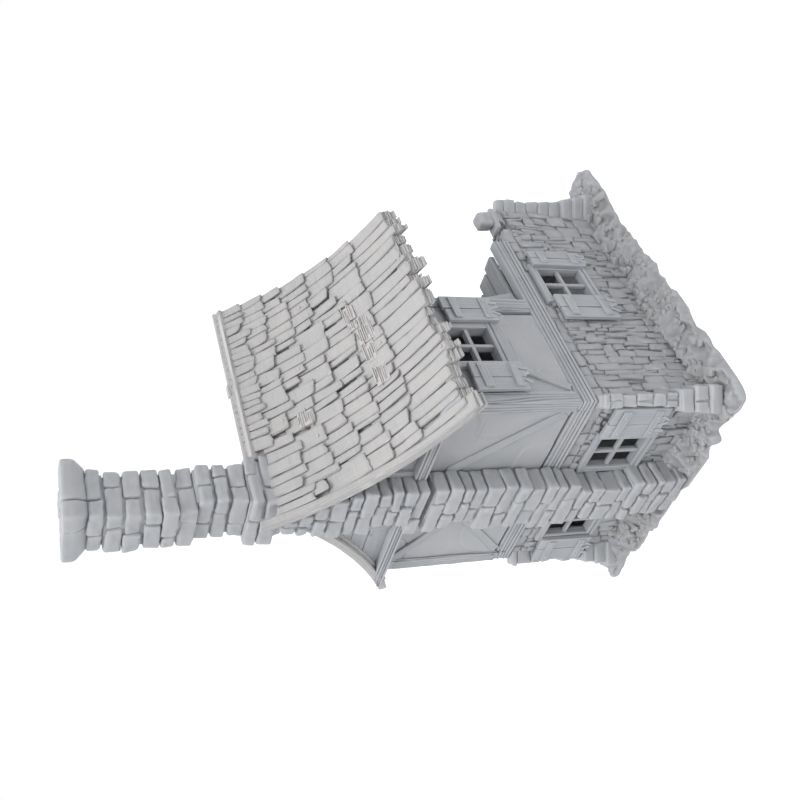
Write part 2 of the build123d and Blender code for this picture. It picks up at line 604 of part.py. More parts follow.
LOW_STACK = ((-53.7, -39.4), (-2.0, 15.8))
HIGH_STACK = ((-56.3, -39.6), (-1.0, 15.4))
CAP = ((-57.1, -35.7), (-2.8, 17.4))
CAP_BULGE = 190.8
with BuildPart() as stack:
    courses(*LOW_STACK, levels_between(STACK_SEAT, STACK_WAIST, 3), (0.0, 0.3, 0.1))
    courses(*HIGH_STACK, levels_between(STACK_WAIST, CAP_BOTTOM - 1.2, 5), (0.0, 0.4, 0.1))
    courses(*HIGH_STACK, (CAP_BOTTOM - 1.2, CAP_BOTTOM), (0.8,))
    with Locations((middle(SHAFT_X), middle(SHAFT_Y), STACK_SEAT)):
        Box(PLUG, PLUG, PLUG_DEPTH, align=(Align.CENTER, Align.CENTER, Align.MAX))
save(stack, "stack_courses")

FLUE = (7.0, 6.5)
FLUE_DEPTH = 5.0
CAP_CENTRE = (middle(CAP[0]), middle(CAP[1]))
with BuildPart() as cap:
    for height, share in ((CAP_BOTTOM, 0.78), (CAP_BULGE, 1.0)):
        with BuildSketch(Plane.XY.offset(height)):
            with Locations(CAP_CENTRE):
                Rectangle((CAP[0][1] - CAP[0][0]) * share, (CAP[1][1] - CAP[1][0]) * share)
    loft(ruled=True)
    span(CAP[0], CAP[1], (CAP_BULGE, CAP_TOP))
    with Locations((*CAP_CENTRE, CAP_TOP)):
        Box(*FLUE, 2 * FLUE_DEPTH, mode=Mode.SUBTRACT)
save(cap, "chimney_cap")
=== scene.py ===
"""Looks for the miniature terrain ruin: a grey printed cottage of rubble, timber, plaster and shingles.

Shapes are worked out in millimetres in the part's own frame and become metres where a mesh is made.
"""

import math

import bpy
import numpy as np
from mathutils import Matrix, Vector


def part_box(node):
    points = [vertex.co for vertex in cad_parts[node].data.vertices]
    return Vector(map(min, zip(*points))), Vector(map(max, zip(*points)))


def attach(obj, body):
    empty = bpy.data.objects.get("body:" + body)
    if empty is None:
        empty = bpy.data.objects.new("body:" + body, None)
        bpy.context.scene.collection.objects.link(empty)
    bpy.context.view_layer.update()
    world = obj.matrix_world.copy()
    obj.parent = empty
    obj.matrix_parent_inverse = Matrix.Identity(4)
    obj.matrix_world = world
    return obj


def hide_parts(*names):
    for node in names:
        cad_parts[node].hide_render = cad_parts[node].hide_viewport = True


MM = 0.001
rng = np.random.default_rng(28)

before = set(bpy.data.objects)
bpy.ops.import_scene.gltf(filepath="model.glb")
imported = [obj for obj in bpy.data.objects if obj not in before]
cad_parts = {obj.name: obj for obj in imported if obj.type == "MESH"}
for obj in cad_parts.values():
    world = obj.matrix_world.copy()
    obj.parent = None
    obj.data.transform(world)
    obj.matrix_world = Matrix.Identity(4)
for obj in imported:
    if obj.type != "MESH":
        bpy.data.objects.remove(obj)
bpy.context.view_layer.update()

# ---- noise and solids


def lattice_noise(points, seed):
    """Smooth value noise from -1 to 1 at unit cell size."""
    cell = np.floor(points).astype(np.int64)
    part = points - cell
    part = part * part * (3 - 2 * part)
    total = np.zeros(len(points))
    for corner in range(8):
        step = np.array([corner & 1, corner >> 1 & 1, corner >> 2 & 1])
        at = cell + step
        mixed = at[:, 0] * 374761393 + at[:, 1] * 668265263 + at[:, 2] * 2147483629 + seed * 974634777
        mixed = (mixed ^ (mixed >> 13)) * 1274126177
        value = ((mixed ^ (mixed >> 16)) & 65535) / 32767.5 - 1
        share = np.where(step, part, 1 - part)
        total += value * share[:, 0] * share[:, 1] * share[:, 2]
    return total


def noise(points, size, seed=0, octaves=1):
    """Layers of noise, the first with cells of the given size in millimetres along each axis."""
    scaled = np.asarray(points) / np.asarray(size, float)
    total = np.zeros(len(scaled))
    share = 1.0
    for octave in range(octaves):
        total += share * lattice_noise(scaled * 2**octave + 31.7 * octave, seed + octave)
        share *= 0.5
    return total


_lattices = {}


def lattice(cells):
    """The surface of a box of cells: whole-number corner places and the quads between them."""
    if cells in _lattices:
        return _lattices[cells]
    corners = []
    for axis in range(3):
        u, v = (axis + 1) % 3, (axis + 2) % 3
        gu, gv = np.meshgrid(np.arange(cells[u]), np.arange(cells[v]), indexing="ij")
        for side in (0, cells[axis]):
            ring = [(0, 0), (1, 0), (1, 1), (0, 1)]
            if side == 0:
                ring.reverse()
            quad = np.zeros((gu.size, 4, 3), int)
            for i, (du, dv) in enumerate(ring):
                quad[:, i, axis] = side
                quad[:, i, u] = gu.ravel() + du
                quad[:, i, v] = gv.ravel() + dv
            corners.append(quad)
    stacked = np.concatenate(corners).reshape(-1, 3)
    places, inverse = np.unique(stacked, axis=0, return_inverse=True)
    _lattices[cells] = places, inverse.reshape(-1, 4)
    return _lattices[cells]


def rows(half, edge, count):
    """Where the mesh rows lie along one axis: close together on the rounded edges."""
    inner = np.linspace(-half + edge, half - edge, count + 1)
    return np.concatenate([[-half, -half + 0.35 * edge], inner, [half - 0.35 * edge, half]])


def show(mesh, body, slot, replaced=()):
    """Puts a mesh in the scene on its body and in its slot. The scars are shingle painted lighter, a painted
    highlight.
    """
    made = bpy.data.objects.new(mesh.name, mesh)
    bpy.context.scene.collection.objects.link(made)
    mesh.materials.append(MATERIALS[slot])
    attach(made, body)
    if replaced:
        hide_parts(*replaced)


class Pile:
    """Many small solids that become one mesh."""

    def __init__(self):
        self.points = []
        self.quads = []
        self.count = 0

    def add(self, points, quads):
        self.points.append(points)
        self.quads.append(quads + self.count)
        self.count += len(points)

    def piece(self, name, body, slot, replaced=()):
        points = np.concatenate(self.points) * MM
        quads = np.concatenate(self.quads)
        mesh = bpy.data.meshes.new(name)
        mesh.vertices.add(len(points))
        mesh.vertices.foreach_set("co", points.ravel())
        mesh.loops.add(quads.size)
        mesh.loops.foreach_set("vertex_index", quads.ravel())
        mesh.polygons.add(len(quads))
        mesh.polygons.foreach_set("loop_start", np.arange(0, quads.size, 4))
        mesh.update(calc_edges=True)
        mesh.shade_smooth()
        show(mesh, body, slot, replaced)


def solid(pile, low, high, cells=(2, 2, 2), edge=0.4, relief=None, warp=0.0, place=None):
    """A box with rounded edges, roughened by relief, its corners moved by up to warp, then placed."""
    low, high = np.asarray(low, float), np.asarray(high, float)
    half, centre = (high - low) / 2, (low + high) / 2
    edge = min(edge, 0.9 * half.min())
    index, quads = lattice(tuple(n + 4 for n in cells))
    lines = [rows(half[a], edge, cells[a]) for a in range(3)]
    p = np.stack([lines[a][index[:, a]] for a in range(3)], 1)
    core = np.clip(p, -(half - edge), half - edge)
    normal = p - core
    normal /= np.linalg.norm(normal, axis=1)[:, None]
    p = core + normal * edge
    if warp:
        share = (p / half + 1) / 2
        for corner in range(8):
            bits = np.array([corner & 1, corner >> 1 & 1, corner >> 2 & 1])
            weight = np.prod(np.where(bits, share, 1 - share), axis=1)
            p = p + weight[:, None] * rng.uniform(-warp, warp, 3)
    p = p + centre
    if relief is not None:
        p = p + normal * relief(p, normal)[:, None]
    if place is not None:
        p = place(p)
    pile.add(p, quads)


def turned(centre, degrees, axis=2):
    """Turns points about an axis through a centre."""
    angle = math.radians(degrees)
    c, s = math.cos(angle), math.sin(angle)
    u, v = (axis + 1) % 3, (axis + 2) % 3
    middle = np.asarray(centre, float)

    def place(p):
        q = p - middle
        out = q.copy()
        out[:, u] = c * q[:, u] - s * q[:, v]
        out[:, v] = s * q[:, u] + c * q[:, v]
        return out + middle

    return place


def rough_stone(depth=0.16, size=1.7):
    """Hammered stone: soft lumps and a few chips."""
    shift = rng.uniform(-90, 90, 3)

    def relief(p, normal):
        lumps = noise(p + shift, size, 3, 2)
        chips = np.minimum(noise(p - shift, size * 0.8, 5) + 0.35, 0)
        return depth * (lumps + 1.6 * chips)

    return relief


def grooved(axis, depth=0.16, pitch=0.85, length=30.0, knots=0.3):
    """Split timber: sharp grooves along one axis, wandering a little, and a few dents."""
    shift = rng.uniform(-90, 90, 3)
    size = np.full(3, pitch * 2.2)
    size[axis] = length
    sides = [a for a in range(3) if a != axis]

    def relief(p, normal):
        q = p + shift
        wander = 1.1 * noise(q, size, 7)
        lines = np.zeros(len(p))
        for a in sides:
            other = sides[0] if a == sides[1] else sides[1]
            phase = np.abs(((q[:, a] / pitch + wander) % 1.0) - 0.5) * 2
            lines += np.where(np.abs(normal[:, other]) > 0.6, -np.clip(1 - phase * 2.4, 0, 1), 0)
        return depth * (lines * 1.5 + 0.3 + knots * noise(q, 3.0, 9))

    return relief


def islands(node):
    """The boxes of a CAD node's separate solids, in millimetres, in a fixed order."""
    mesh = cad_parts[node].data
    count = len(mesh.vertices)
    points = np.zeros(count * 3)
    mesh.vertices.foreach_get("co", points)
    points = points.reshape(-1, 3) / MM
    _, same = np.unique(np.round(points, 3), axis=0, return_inverse=True)
    same = same.ravel()
    group = np.arange(same.max() + 1)
    edges = np.zeros(len(mesh.edges) * 2, int)
    mesh.edges.foreach_get("vertices", edges)
    pairs = same[edges].reshape(-1, 2)
    while True:
        lowest = group[pairs].min(1)
        new = group.copy()
        np.minimum.at(new, pairs, lowest[:, None])
        if (new == group).all():
            break
        group = new
    labels = group[same]
    found = [(points[labels == g].min(0), points[labels == g].max(0)) for g in np.unique(labels)]
    return sorted(found, key=lambda b: tuple(np.round(b[0], 2)))


def refit(low, high, spans):
    """A box with new ends along some axes."""
    lo, hi = np.array(low, float), np.array(high, float)
    for axis, (a, b) in spans.items():
        lo[axis], hi[axis] = a, b
    return lo, hi


def box_mm(node):
    """A CAD node's lowest and highest corners in millimetres."""
    low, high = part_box(node)
    return np.array(low) / MM, np.array(high) / MM


# ---- materials

LAYER = 0.22 * MM
LINE_HEIGHT = 0.09 * MM
# pointiness to a colour factor: standing edges worn lighter, hollows darkened as painted shade
WEAR_AND_SHADE_RANGE = {"From Min": 0.46, "From Max": 0.58, "To Min": 0.80, "To Max": 1.10}


def printed(name, colour, other, share, lines=0.5):
    """Matte printed plastic: faint layer lines, patches of another tone, paler worn edges and painted shade in the
    hollows.
    """
    material = bpy.data.materials.new(name)
    material.use_nodes = True
    tree = material.node_tree
    tree.nodes.clear()

    def node(kind, inputs, links, **settings):
        made = tree.nodes.new("ShaderNode" + kind)
        for key, value in settings.items():
            setattr(made, key, value)
        for key, value in inputs.items():
            made.inputs[key].default_value = value
        for key, (source, output) in links.items():
            tree.links.new(source.outputs[output], made.inputs[key])
        return made

    where = node("TexCoord", {}, {})
    place = (where, "Object")
    patches = node("TexNoise", {"Scale": 95.0, "Detail": 3.0, "Roughness": 0.55}, {"Vector": place})
    spread = node("MapRange", {"From Min": 0.38, "From Max": 0.66, "To Max": share}, {"Value": (patches, "Fac")})
    tone = node("Mix", {"A": (*colour, 1), "B": (*other, 1)}, {"Factor": (spread, "Result")}, data_type="RGBA")

    # edges that stand out are worn lighter, and the hollows are painted darker as shade
    shape = node("NewGeometry", {}, {})
    wear_and_shade = node("MapRange", WEAR_AND_SHADE_RANGE, {"Value": (shape, "Pointiness")})
    shade = node("Mix", {"Factor": 1.0}, {"A": (tone, "Result"), "B": (wear_and_shade, "Result")},
                 data_type="RGBA", blend_type="MULTIPLY")

    # layer lines of the print: an even ripple up the height, uneven bands and some grit
    split = node("SeparateXYZ", {}, {"Vector": place})
    climb = node("Math", {1: 2 * math.pi / LAYER}, {0: (split, "Z")}, operation="MULTIPLY")
    ripple = node("Math", {}, {0: (climb, "Value")}, operation="SINE")
    grit = node("TexNoise", {"Scale": 1500.0, "Detail": 2.0}, {"Vector": place})
    squeeze = node("Mapping", {"Scale": (45.0, 45.0, 2600.0)}, {"Vector": place})
    bands = node("TexNoise", {"Scale": 1.0, "Detail": 2.0, "Roughness": 0.7}, {"Vector": (squeeze, "Vector")})
    mixed = node("Math", {1: 0.25}, {0: (ripple, "Value"), 2: (grit, "Fac")}, operation="MULTIPLY_ADD")
    layered = node("Math", {1: 2.2}, {0: (bands, "Fac"), 2: (mixed, "Value")}, operation="MULTIPLY_ADD")
    bump = node("Bump", {"Strength": lines, "Distance": LINE_HEIGHT}, {"Height": (layered, "Value")})
    shader = node("BsdfPrincipled", {"Roughness": 0.62, "Specular IOR Level": 0.35},
                  {"Base Color": (shade, "Result"), "Normal": (bump, "Normal")})
    node("OutputMaterial", {}, {"Surface": (shader, "BSDF")})
    return material


GREY = (0.374, 0.383, 0.396)
COOL = (0.330, 0.346, 0.370)
MATERIALS = {
    "stone": printed("printed_stone", GREY, COOL, 0.6, 0.85),
    "timber": printed("printed_timber", COOL, GREY, 0.8),
    "plaster": printed("printed_plaster", GREY, COOL, 0.6, 0.6),
    # the shingle grey is painted lighter and warmer than the walls' grey: painted light for the up-facing roof, also
    # on the barge strips and ridge timber; it is the same plastic
    "shingle": printed("printed_shingle_painted_light", (0.408, 0.407, 0.407), (0.432, 0.424, 0.421), 0.9, 1.1),
    # the scars and nail heads: the same plastic painted lighter, a painted highlight for their raised layers and heads
    "scar": printed("printed_scar_painted_highlight", (0.50, 0.485, 0.478), (0.54, 0.53, 0.52), 0.9, 0.7),
    # the turf grey is painted darker than the walls' grey: painted shade over the base, which is the same plastic
    "turf": printed("printed_turf_painted_shade", (0.300, 0.302, 0.308), COOL, 0.8),
    "iron": printed("printed_iron", COOL, GREY, 0.5),
}

# ---- sizes read from the frame

GABLE_X, FRONT_Y, WALL_BOTTOM = box_mm("stone_wall_front")[0]
HOUSE_END_X, _, STOREY_SEAT = box_mm("stone_wall_front")[1]
BACK_Y = -FRONT_Y
STONE = box_mm("stone_wall_front")[1][1] - FRONT_Y
UPPER_END_X = box_mm("corner_posts_front")[1][0]
PLATE_TOP = box_mm("wall_plate_front")[1][2]
TIE_TOP = box_mm("tie_beams")[1][2]
FLOOR_TOP = box_mm("floor_flags")[1][2]
BAND = 3.9
SKIN = 1.15
INNER_SKIN = 0.9
JOINT = 0.28
FINE_JOINT = 0.12

# ---- rubble walls


def rubble_layout(x, z, cell=(1.5, 2.2), blocked=(), top=None):
    """Fits random upright rectangles into a wall, leaving out what is blocked or above its top."""
    nx = max(1, round((x[1] - x[0]) / cell[0]))
    nz = max(1, round((z[1] - z[0]) / cell[1]))
    dx, dz = (x[1] - x[0]) / nx, (z[1] - z[0]) / nz
    taken = np.zeros((nx, nz), bool)
    for i in range(nx):
        for k in range(nz):
            cx, cz = x[0] + (i + 0.5) * dx, z[0] + (k + 0.5) * dz
            inside = any(b[0] < cx < b[1] and b[2] < cz < b[3] for b in blocked)
            taken[i, k] = inside or (top is not None and z[0] + (k + 0.25) * dz > top(cx))
    shapes = ((2, 3), (2, 4), (3, 3), (3, 2), (2, 2), (4, 2), (3, 4), (2, 5), (1, 2), (1, 3), (1, 4))
    odds = np.array((20, 20, 10, 6, 9, 2, 6, 8, 7, 8, 4), float)
    found = []
    for k in range(nz):
        for i in range(nx):
            if taken[i, k]:
                continue
            w, h = shapes[rng.choice(len(shapes), p=odds / odds.sum())]
            w = min(w, nx - i)
            while w > 1 and taken[i : i + w, k].any():
                w -= 1
            h = min(h, nz - k)
            while h > 1 and taken[i : i + w, k : k + h].any():
                h -= 1
            taken[i : i + w, k : k + h] = True
            high = z[0] + (k + h) * dz
            if top is not None:
                high = min(high, top(x[0] + (i + w / 2) * dx) + rng.uniform(-0.3, 0.5))
            if high - (z[0] + k * dz) > 0.8:
                found.append((x[0] + i * dx, x[0] + (i + w) * dx, z[0] + k * dz, high))
    return found


def band_layout(x, z, low=4.2, high=6.8, blocked=()):
    """A row of dressed blocks of uneven length."""
    found = []
    at = x[0]
    while at < x[1] - 1:
        end = min(x[1], at + rng.uniform(low, high))
        if x[1] - end < 2.5:
            end = x[1]
        if not any(b[0] < (at + end) / 2 < b[1] and b[2] < z[1] and b[3] > z[0] for b in blocked):
            found.append((at, end, z[0], z[1] - rng.uniform(0, 0.3)))
        at = end
    return found


def lay(pile, stones, to_world, proud=0.0, gap=JOINT, deep=1.7, spread=0.55):
    """Sets stones in a face. to_world turns (along, out, up) into the part's frame."""
    for x0, x1, z0, z1 in stones:
        out = proud + rng.uniform(-spread, spread * 0.5)
        near, far, under, over = gap * rng.choice((0.0, 0.35, 1.6), 4, p=(0.5, 0.36, 0.14))
        low = (x0 + near, out - deep, z0 + under)
        high = (x1 - far, out, z1 - over)
        wide, tall = high[0] - low[0], high[2] - low[2]
        if wide < 0.5 or tall < 0.5:
            continue
        cells = (2 + int(wide > 3) + int(wide > 5), 1, 3 + int(tall > 5) + int(tall > 8))
        centre = [(a + b) / 2 for a, b in zip(low, high)]
        tilt = turned(centre, rng.uniform(-3.5, 3.5), 1)
        tip_out = rng.uniform(-0.3, 0.3)
        middle_z = (z0 + z1) / 2

        def leaned(p):
            out = tilt(p)
            out[:, 1] += tip_out * (out[:, 2] - middle_z) / max(z1 - z0, 1.0)
            return to_world(out)

        solid(pile, low, high, cells, rng.uniform(0.3, 0.6), rough_stone(0.22, 1.3), 0.42, leaned)


def facing(axis, side, at):
    """Turns (along, out, up) into the part's frame for a wall face at a place on its normal axis.

    Seen from outside, along runs to the right: +X on the front and -X on the back, -Y on the gable and +Y at the end.
    """
    mirror = along_sign(axis, side)

    def place(p):
        columns = [mirror * p[:, 0], mirror * p[:, 0], p[:, 2]]
        columns[axis] = at + side * p[:, 1]
        return np.stack(columns, 1)

    return place


def along_sign(axis, side):
    return side if axis == 0 else -side


def flipped(holes):
    """The same holes read from the other side of a wall."""
    return [(-b, -a, c, d) for a, b, c, d in holes]


def node_hole(node, axis):
    """Where a frame sits in its wall: its span along the wall and its span in height."""
    low, high = box_mm(node)
    return (low[axis], high[axis], low[2], high[2])


def ruined_top(points):
    """The height of a broken wall's top at a place along it."""
    places = [p[0] for p in points]
    heights = [p[1] for p in points]
    return lambda at: float(np.interp(at, places, heights))


def core_wall(pile, low, high, holes, axis, top, step=1.5):
    """The mass between the two faces of a wall, built in upright slices round its holes."""
    cuts = sorted({low[axis], high[axis], *[h for hole in holes for h in hole[:2]]})
    fine = []
    for a, b in zip(cuts, cuts[1:]):
        parts = max(1, round((b - a) / step)) if top is not None else 1
        fine += [(a + (b - a) * i / parts, a + (b - a) * (i + 1) / parts) for i in range(parts)]
    for a, b in fine:
        spans = [(low[2], high[2] if top is None else min(high[2], top((a + b) / 2) - 0.5))]
        for h0, h1, z0, z1 in holes:
            if h0 < (a + b) / 2 < h1:
                spans = [(lo, min(hi, z0)) for lo, hi in spans] + [(max(lo, z1), hi) for lo, hi in spans]
        for lo, hi in spans:
            if hi - lo < 0.2:
                continue
            solid(pile, *refit(low, high, {axis: (a - 0.02, b + 0.02), 2: (lo, hi)}), (1, 1, 1), 0.08)


def rubble_wall(name, node, axis, side, holes, inset, top_points=None, band_end=None):
    """A wall with rubble on both faces, and a band of dressed blocks under the sill as far as band_end.

    axis is the wall's normal, side its sign, and inset how far its core stays back from its ends.
    """
    pile = Pile()
    mirror = along_sign(axis, side)
    ends = ((FRONT_Y, BACK_Y), (GABLE_X, HOUSE_END_X))[axis]
    outer = ((GABLE_X, HOUSE_END_X), (FRONT_Y, BACK_Y))[axis][side > 0]
    inner = outer - side * STONE
    top = ruined_top(top_points) if top_points else (lambda at: STOREY_SEAT)
    low, high = [ends[0] + inset] * 2 + [WALL_BOTTOM], [ends[1] - inset] * 2 + [STOREY_SEAT - 0.2]
    low[axis], high[axis] = sorted((outer - side * SKIN, inner + side * INNER_SKIN))
    core_wall(pile, low, high, holes, 1 - axis, top if top_points else None)
    outside, inside = (holes, flipped(holes))[::mirror]
    seam = STOREY_SEAT - (0.0 if band_end is None else BAND)
    to_world = facing(axis, side, outer)
    span = sorted(mirror * end for end in ends)
    stones = rubble_layout(span, (WALL_BOTTOM, seam), blocked=outside, top=lambda at: min(top(mirror * at), seam))
    lay(pile, stones, to_world)
    if band_end is not None:
        row = sorted((mirror * ends[0], mirror * band_end))
        blocks = band_layout(row, (seam, STOREY_SEAT - 0.1), blocked=outside)
        lay(pile, blocks, to_world, -0.55, gap=0.5, spread=0.15)
    room = sorted((-mirror * (ends[0] + STONE), -mirror * (ends[1] - STONE)))
    stones = rubble_layout(room, (FLOOR_TOP, STOREY_SEAT), blocked=inside, top=lambda at: top(-mirror * at))
    lay(pile, stones, facing(axis, -side, inner), deep=1.2, spread=0.2)
    pile.piece(name, "ground_storey", "stone", [node])


FRONT_TOP = [(GABLE_X, 45), (31, 45), (32, 41.5), (35, 41.5), (36.5, 43), (41.5, 43), (42.5, 41), (45, 41)]
BACK_TOP = [(GABLE_X, 45), (25, 45), (27, 42), (34, 42), (38, 39), (45, 39)]
END_TOP = [(-40, 41), (-35.5, 41), (-25, 37), (-16, 31), (-4, 27.5), (12, 30), (22, 36), (35.5, 39), (40, 39)]
LONG_INSET = 1.2
CROSS_INSET = STONE - 0.8
BAND_END = 30.0

front_holes = [node_hole("window_ground_front", 0)]
back_holes = [node_hole("door_frame", 0)]
gable_holes = [node_hole("window_gable_near", 1), node_hole("window_gable_far", 1)]
rubble_wall("rubble_front", "stone_wall_front", 1, -1, front_holes, LONG_INSET, FRONT_TOP, BAND_END)
rubble_wall("rubble_back", "stone_wall_back", 1, 1, back_holes, LONG_INSET, BACK_TOP, BAND_END)
rubble_wall("rubble_gable", "stone_wall_gable", 0, -1, gable_holes, CROSS_INSET, None, BACK_Y)
rubble_wall("rubble_end", "stone_wall_end", 0, 1, [], CROSS_INSET, END_TOP)

# ---- corner piers

# a pier's width and reach at some heights
PIER_SHAPE = np.array([
    (3.0, 9.6, 5.2), (12.0, 8.2, 3.5), (16.5, 7.2, 2.6), (18.0, 4.8, 1.9), (36.0, 3.9, 1.7), (43.6, 4.6, 2.2)])
PIER_ROOT = 4.0


def pier(name, node, x, y, heading, top=44.6):
    """A diagonal buttress of dressed courses, spread at its foot and head."""
    pile = Pile()
    heights, widths, reaches = PIER_SHAPE.T
    z = heights[0] - 0.5
    turn = turned((x, y, 0), heading)
    course = 0
    while z < top - 1:
        tall = min(rng.uniform(3.9, 5.6), top - z)
        if top - z - tall < 2:
            tall = top - z
        middle = z + tall / 2
        width = np.interp(middle, heights, widths) + rng.uniform(-0.3, 0.3)
        reach = np.interp(middle, heights, reaches) + rng.uniform(-0.25, 0.25)
        solid(pile, (x - PIER_ROOT, y - width / 2 + 0.6, z), (x + reach - 0.7, y + width / 2 - 0.6, z + tall),
              (1, 1, 1), 0.1, place=turn)
        share = rng.uniform(0.36, 0.64) if course % 2 else 1.0
        splits = [-width / 2, -width / 2 + share * width, width / 2] if share < 1 else [-width / 2, width / 2]
        for a, b in zip(splits, splits[1:]):
            out = reach + rng.uniform(-0.25, 0.25)
            low = (x - PIER_ROOT, y + a + FINE_JOINT, z + FINE_JOINT)
            high = (x + out, y + b - FINE_JOINT, z + tall - FINE_JOINT)
            solid(pile, low, high, (4, 4, 3), 0.6, rough_stone(0.2, 1.6), 0.35, turn)
        z += tall
        course += 1
    pile.piece(name, "ground_storey", "stone", [node])


pier("pier_near", "corner_pier_near", GABLE_X, FRONT_Y, -135)
pier("pier_far", "corner_pier_far", GABLE_X, BACK_Y, 135)
pier("pier_end_front", "corner_pier_end_front", HOUSE_END_X, FRONT_Y, -45, 42.2)
pier("pier_end_back", "corner_pier_end_back", HOUSE_END_X, BACK_Y, 45)

loose = Pile()
block_top = box_mm("wall_top_block")[1][2]
solid(loose, (31.4, FRONT_Y - 0.8, 44.6), (41.8, FRONT_Y + STONE, 46.4), (4, 2, 1), 0.5, rough_stone(0.2), 0.3)
solid(loose, (34.0, FRONT_Y - 0.4, 46.3), (40.4, FRONT_Y + STONE - 0.2, block_top), (3, 3, 3), 1.1,
      rough_stone(0.25), 0.4)
solid(loose, (36.0, FRONT_Y, 43.0), (41.4, FRONT_Y + STONE, 44.9), (3, 2, 1), 0.4, rough_stone(0.2), 0.2)
loose.piece("loose_block", "ground_storey", "stone", ["wall_top_block"])

# ---- chimney


# the least and the most that a stone keeps back from its joints
COURSE_GAP = (0.15, 0.15, 0.1), (0.3, 0.3, 0.45)


def ring_course(pile, x, y, z, odd, back=True):
    """One course round a chimney: a long corner stone and a short one on each face, turn about."""
    inset = 1.5
    solid(pile, (x[0] + inset, y[0] + inset, z[0] - 0.1), (x[1] - (inset if back else 0), y[1] - inset, z[1] + 0.1),
          (1, 1, 1), 0.1)
    share = rng.uniform(0.52, 0.68)
    cut_y = y[0] + (y[1] - y[0]) * (share if odd else 1 - share)
    share = rng.uniform(0.5, 0.66)
    cut_x = x[0] + (x[1] - x[0]) * (1 - share if odd else share)
    other_x, other_y = x[1] - (cut_x - x[0]), y[1] - (cut_y - y[0])
    if back:
        stones = ((x[0], cut_x, y[0], cut_y), (cut_x, x[1], y[0], other_y),
                  (x[0], other_x, cut_y, y[1]), (other_x, x[1], other_y, y[1]))
    else:
        stones = (x[0], x[1], y[0], cut_y), (x[0], x[1], cut_y, y[1])
    course = rng.uniform(-0.45, 0.35)
    for xa, xb, ya, yb in stones:
        push = course + rng.uniform(-0.25, 0.3, 2)
        low = np.array([xa, ya, z[0]]) + rng.uniform(*COURSE_GAP)
        high = np.array([xb, yb, z[1]]) - rng.uniform(*COURSE_GAP)
        low[0] += push[0] * (xa == x[0])
        high[0] += push[0] * (xb == x[1]) * back
        low[1] += push[1] * (ya == y[0])
        high[1] += push[1] * (yb == y[1])
        if (high - low).min() < 0.8:
            continue
        solid(pile, low, high, (7, 7, 4), 0.85 * rng.uniform(0.75, 1.15), rough_stone(0.2, 1.9), 0.4,
              turned((low + high) / 2, rng.uniform(-2.5, 2.5)))


def courses(pile, x, y, seams, odd):
    """Courses of one plan between the seams, the bond changing each time."""
    for i, z in enumerate(zip(seams, seams[1:])):
        ring_course(pile, x, y, z, i % 2 == odd)


# each course of the breast: its top, its near side and its far side
BREAST = [
    (4.6, -11.2, 6.0), (9.2, -11.0, 5.8), (12.4, -10.8, 6.2), (16.4, -10.4, 5.8), (20.2, -9.7, 9.0),
    (24.4, -8.3, 8.8), (30.6, -7.4, 8.4), (35.2, -7.2, 8.2), (39.6, -7.8, 8.6), (44.8, -9.6, 9.6), (48.8, -10.4, 11.8),
    (53.0, -10.6, 11.6), (58.2, -10.6, 8.6), (62.8, -11.0, 8.8), (67.8, -11.2, 9.4), (73.6, -11.0, 8.6),
    (77.6, -11.2, 4.8), (81.4, -11.0, 4.6), (86.0, -11.2, 6.8), (90.6, -11.4, 9.4), (96.2, -11.4, 9.2),
    (100.6, -11.2, 4.4), (104.2, -11.4, 4.6), (108.2, -11.2, 4.6), (113.0, -11.4, 7.6), (116.8, -11.2, 7.4),
    (122.2, -11.4, 7.6), (126.6, -11.0, 6.6), (131.0, -11.0, 6.4), (135.6, -11.0, 4.6),
]
BREAST_X = box_mm("chimney_breast_middle")[0][0]


def breast(low, high, limit=None):
    """The courses of the chimney breast between two heights."""
    pile = Pile()
    bottom = 0.5
    for i, (top, near, far) in enumerate(BREAST):
        if low - 0.1 < (bottom + top) / 2 < high + 0.1:
            z = (max(bottom, low), min(top, high))
            keep = near if limit is None else max(near, limit(z[1]))
            if far - keep > 3:
                face = BREAST_X + (0.2 if bottom > 19 else -0.6)
                ring_course(pile, (face, GABLE_X + 0.5), (keep, far), z, i % 2 == 0, back=False)
        bottom = top
    return pile


# ---- roof curve

EAVE = np.array([-47.98, 92.54])
HAUNCH = np.array([-20.5, 114.0])
APEX = np.array([-0.9, 142.4])


def circle_through(a, b, c):
    """The centre and radius of the circle through three points."""
    left = np.array([b - a, c - b]) * 2
    right = np.array([b @ b - a @ a, c @ c - b @ b])
    centre = np.linalg.solve(left, right)
    return centre, float(np.linalg.norm(a - centre))


CENTRE, RADIUS = circle_through(EAVE, HAUNCH, APEX)
APEX_ANGLE = math.atan2(*(APEX - CENTRE)[::-1])
EAVE_ANGLE = math.atan2(*(EAVE - CENTRE)[::-1])
SLOPE = RADIUS * abs(EAVE_ANGLE - APEX_ANGLE)


def on_slope(side):
    """Bends (x, distance down from the apex, height off the surface) onto the front or back slope."""
    way = math.copysign(1, EAVE_ANGLE - APEX_ANGLE)

    def place(p):
        angle = APEX_ANGLE + way * p[:, 1] / RADIUS
        out = RADIUS - p[:, 2] + 0.55
        y = CENTRE[0] + out * np.cos(angle)
        return np.stack([p[:, 0], -side * y, CENTRE[1] + out * np.sin(angle)], 1)

    return place


def slope_height(y):
    """The height of the outer roof surface at a distance from the ridge."""
    return CENTRE[1] - math.sqrt(max(RADIUS**2 - (-abs(y) - CENTRE[0]) ** 2, 0))


# how far the top of the breast stays under the roof's surface
UNDER = 5.75


def under_roof(z):
    """How near the front the breast may come at a height, so that it stays under the slope."""
    ys = np.linspace(0, 46, 200)
    heights = np.array([slope_height(y) for y in ys]) - UNDER
    return -float(np.interp(-z, -heights, ys))


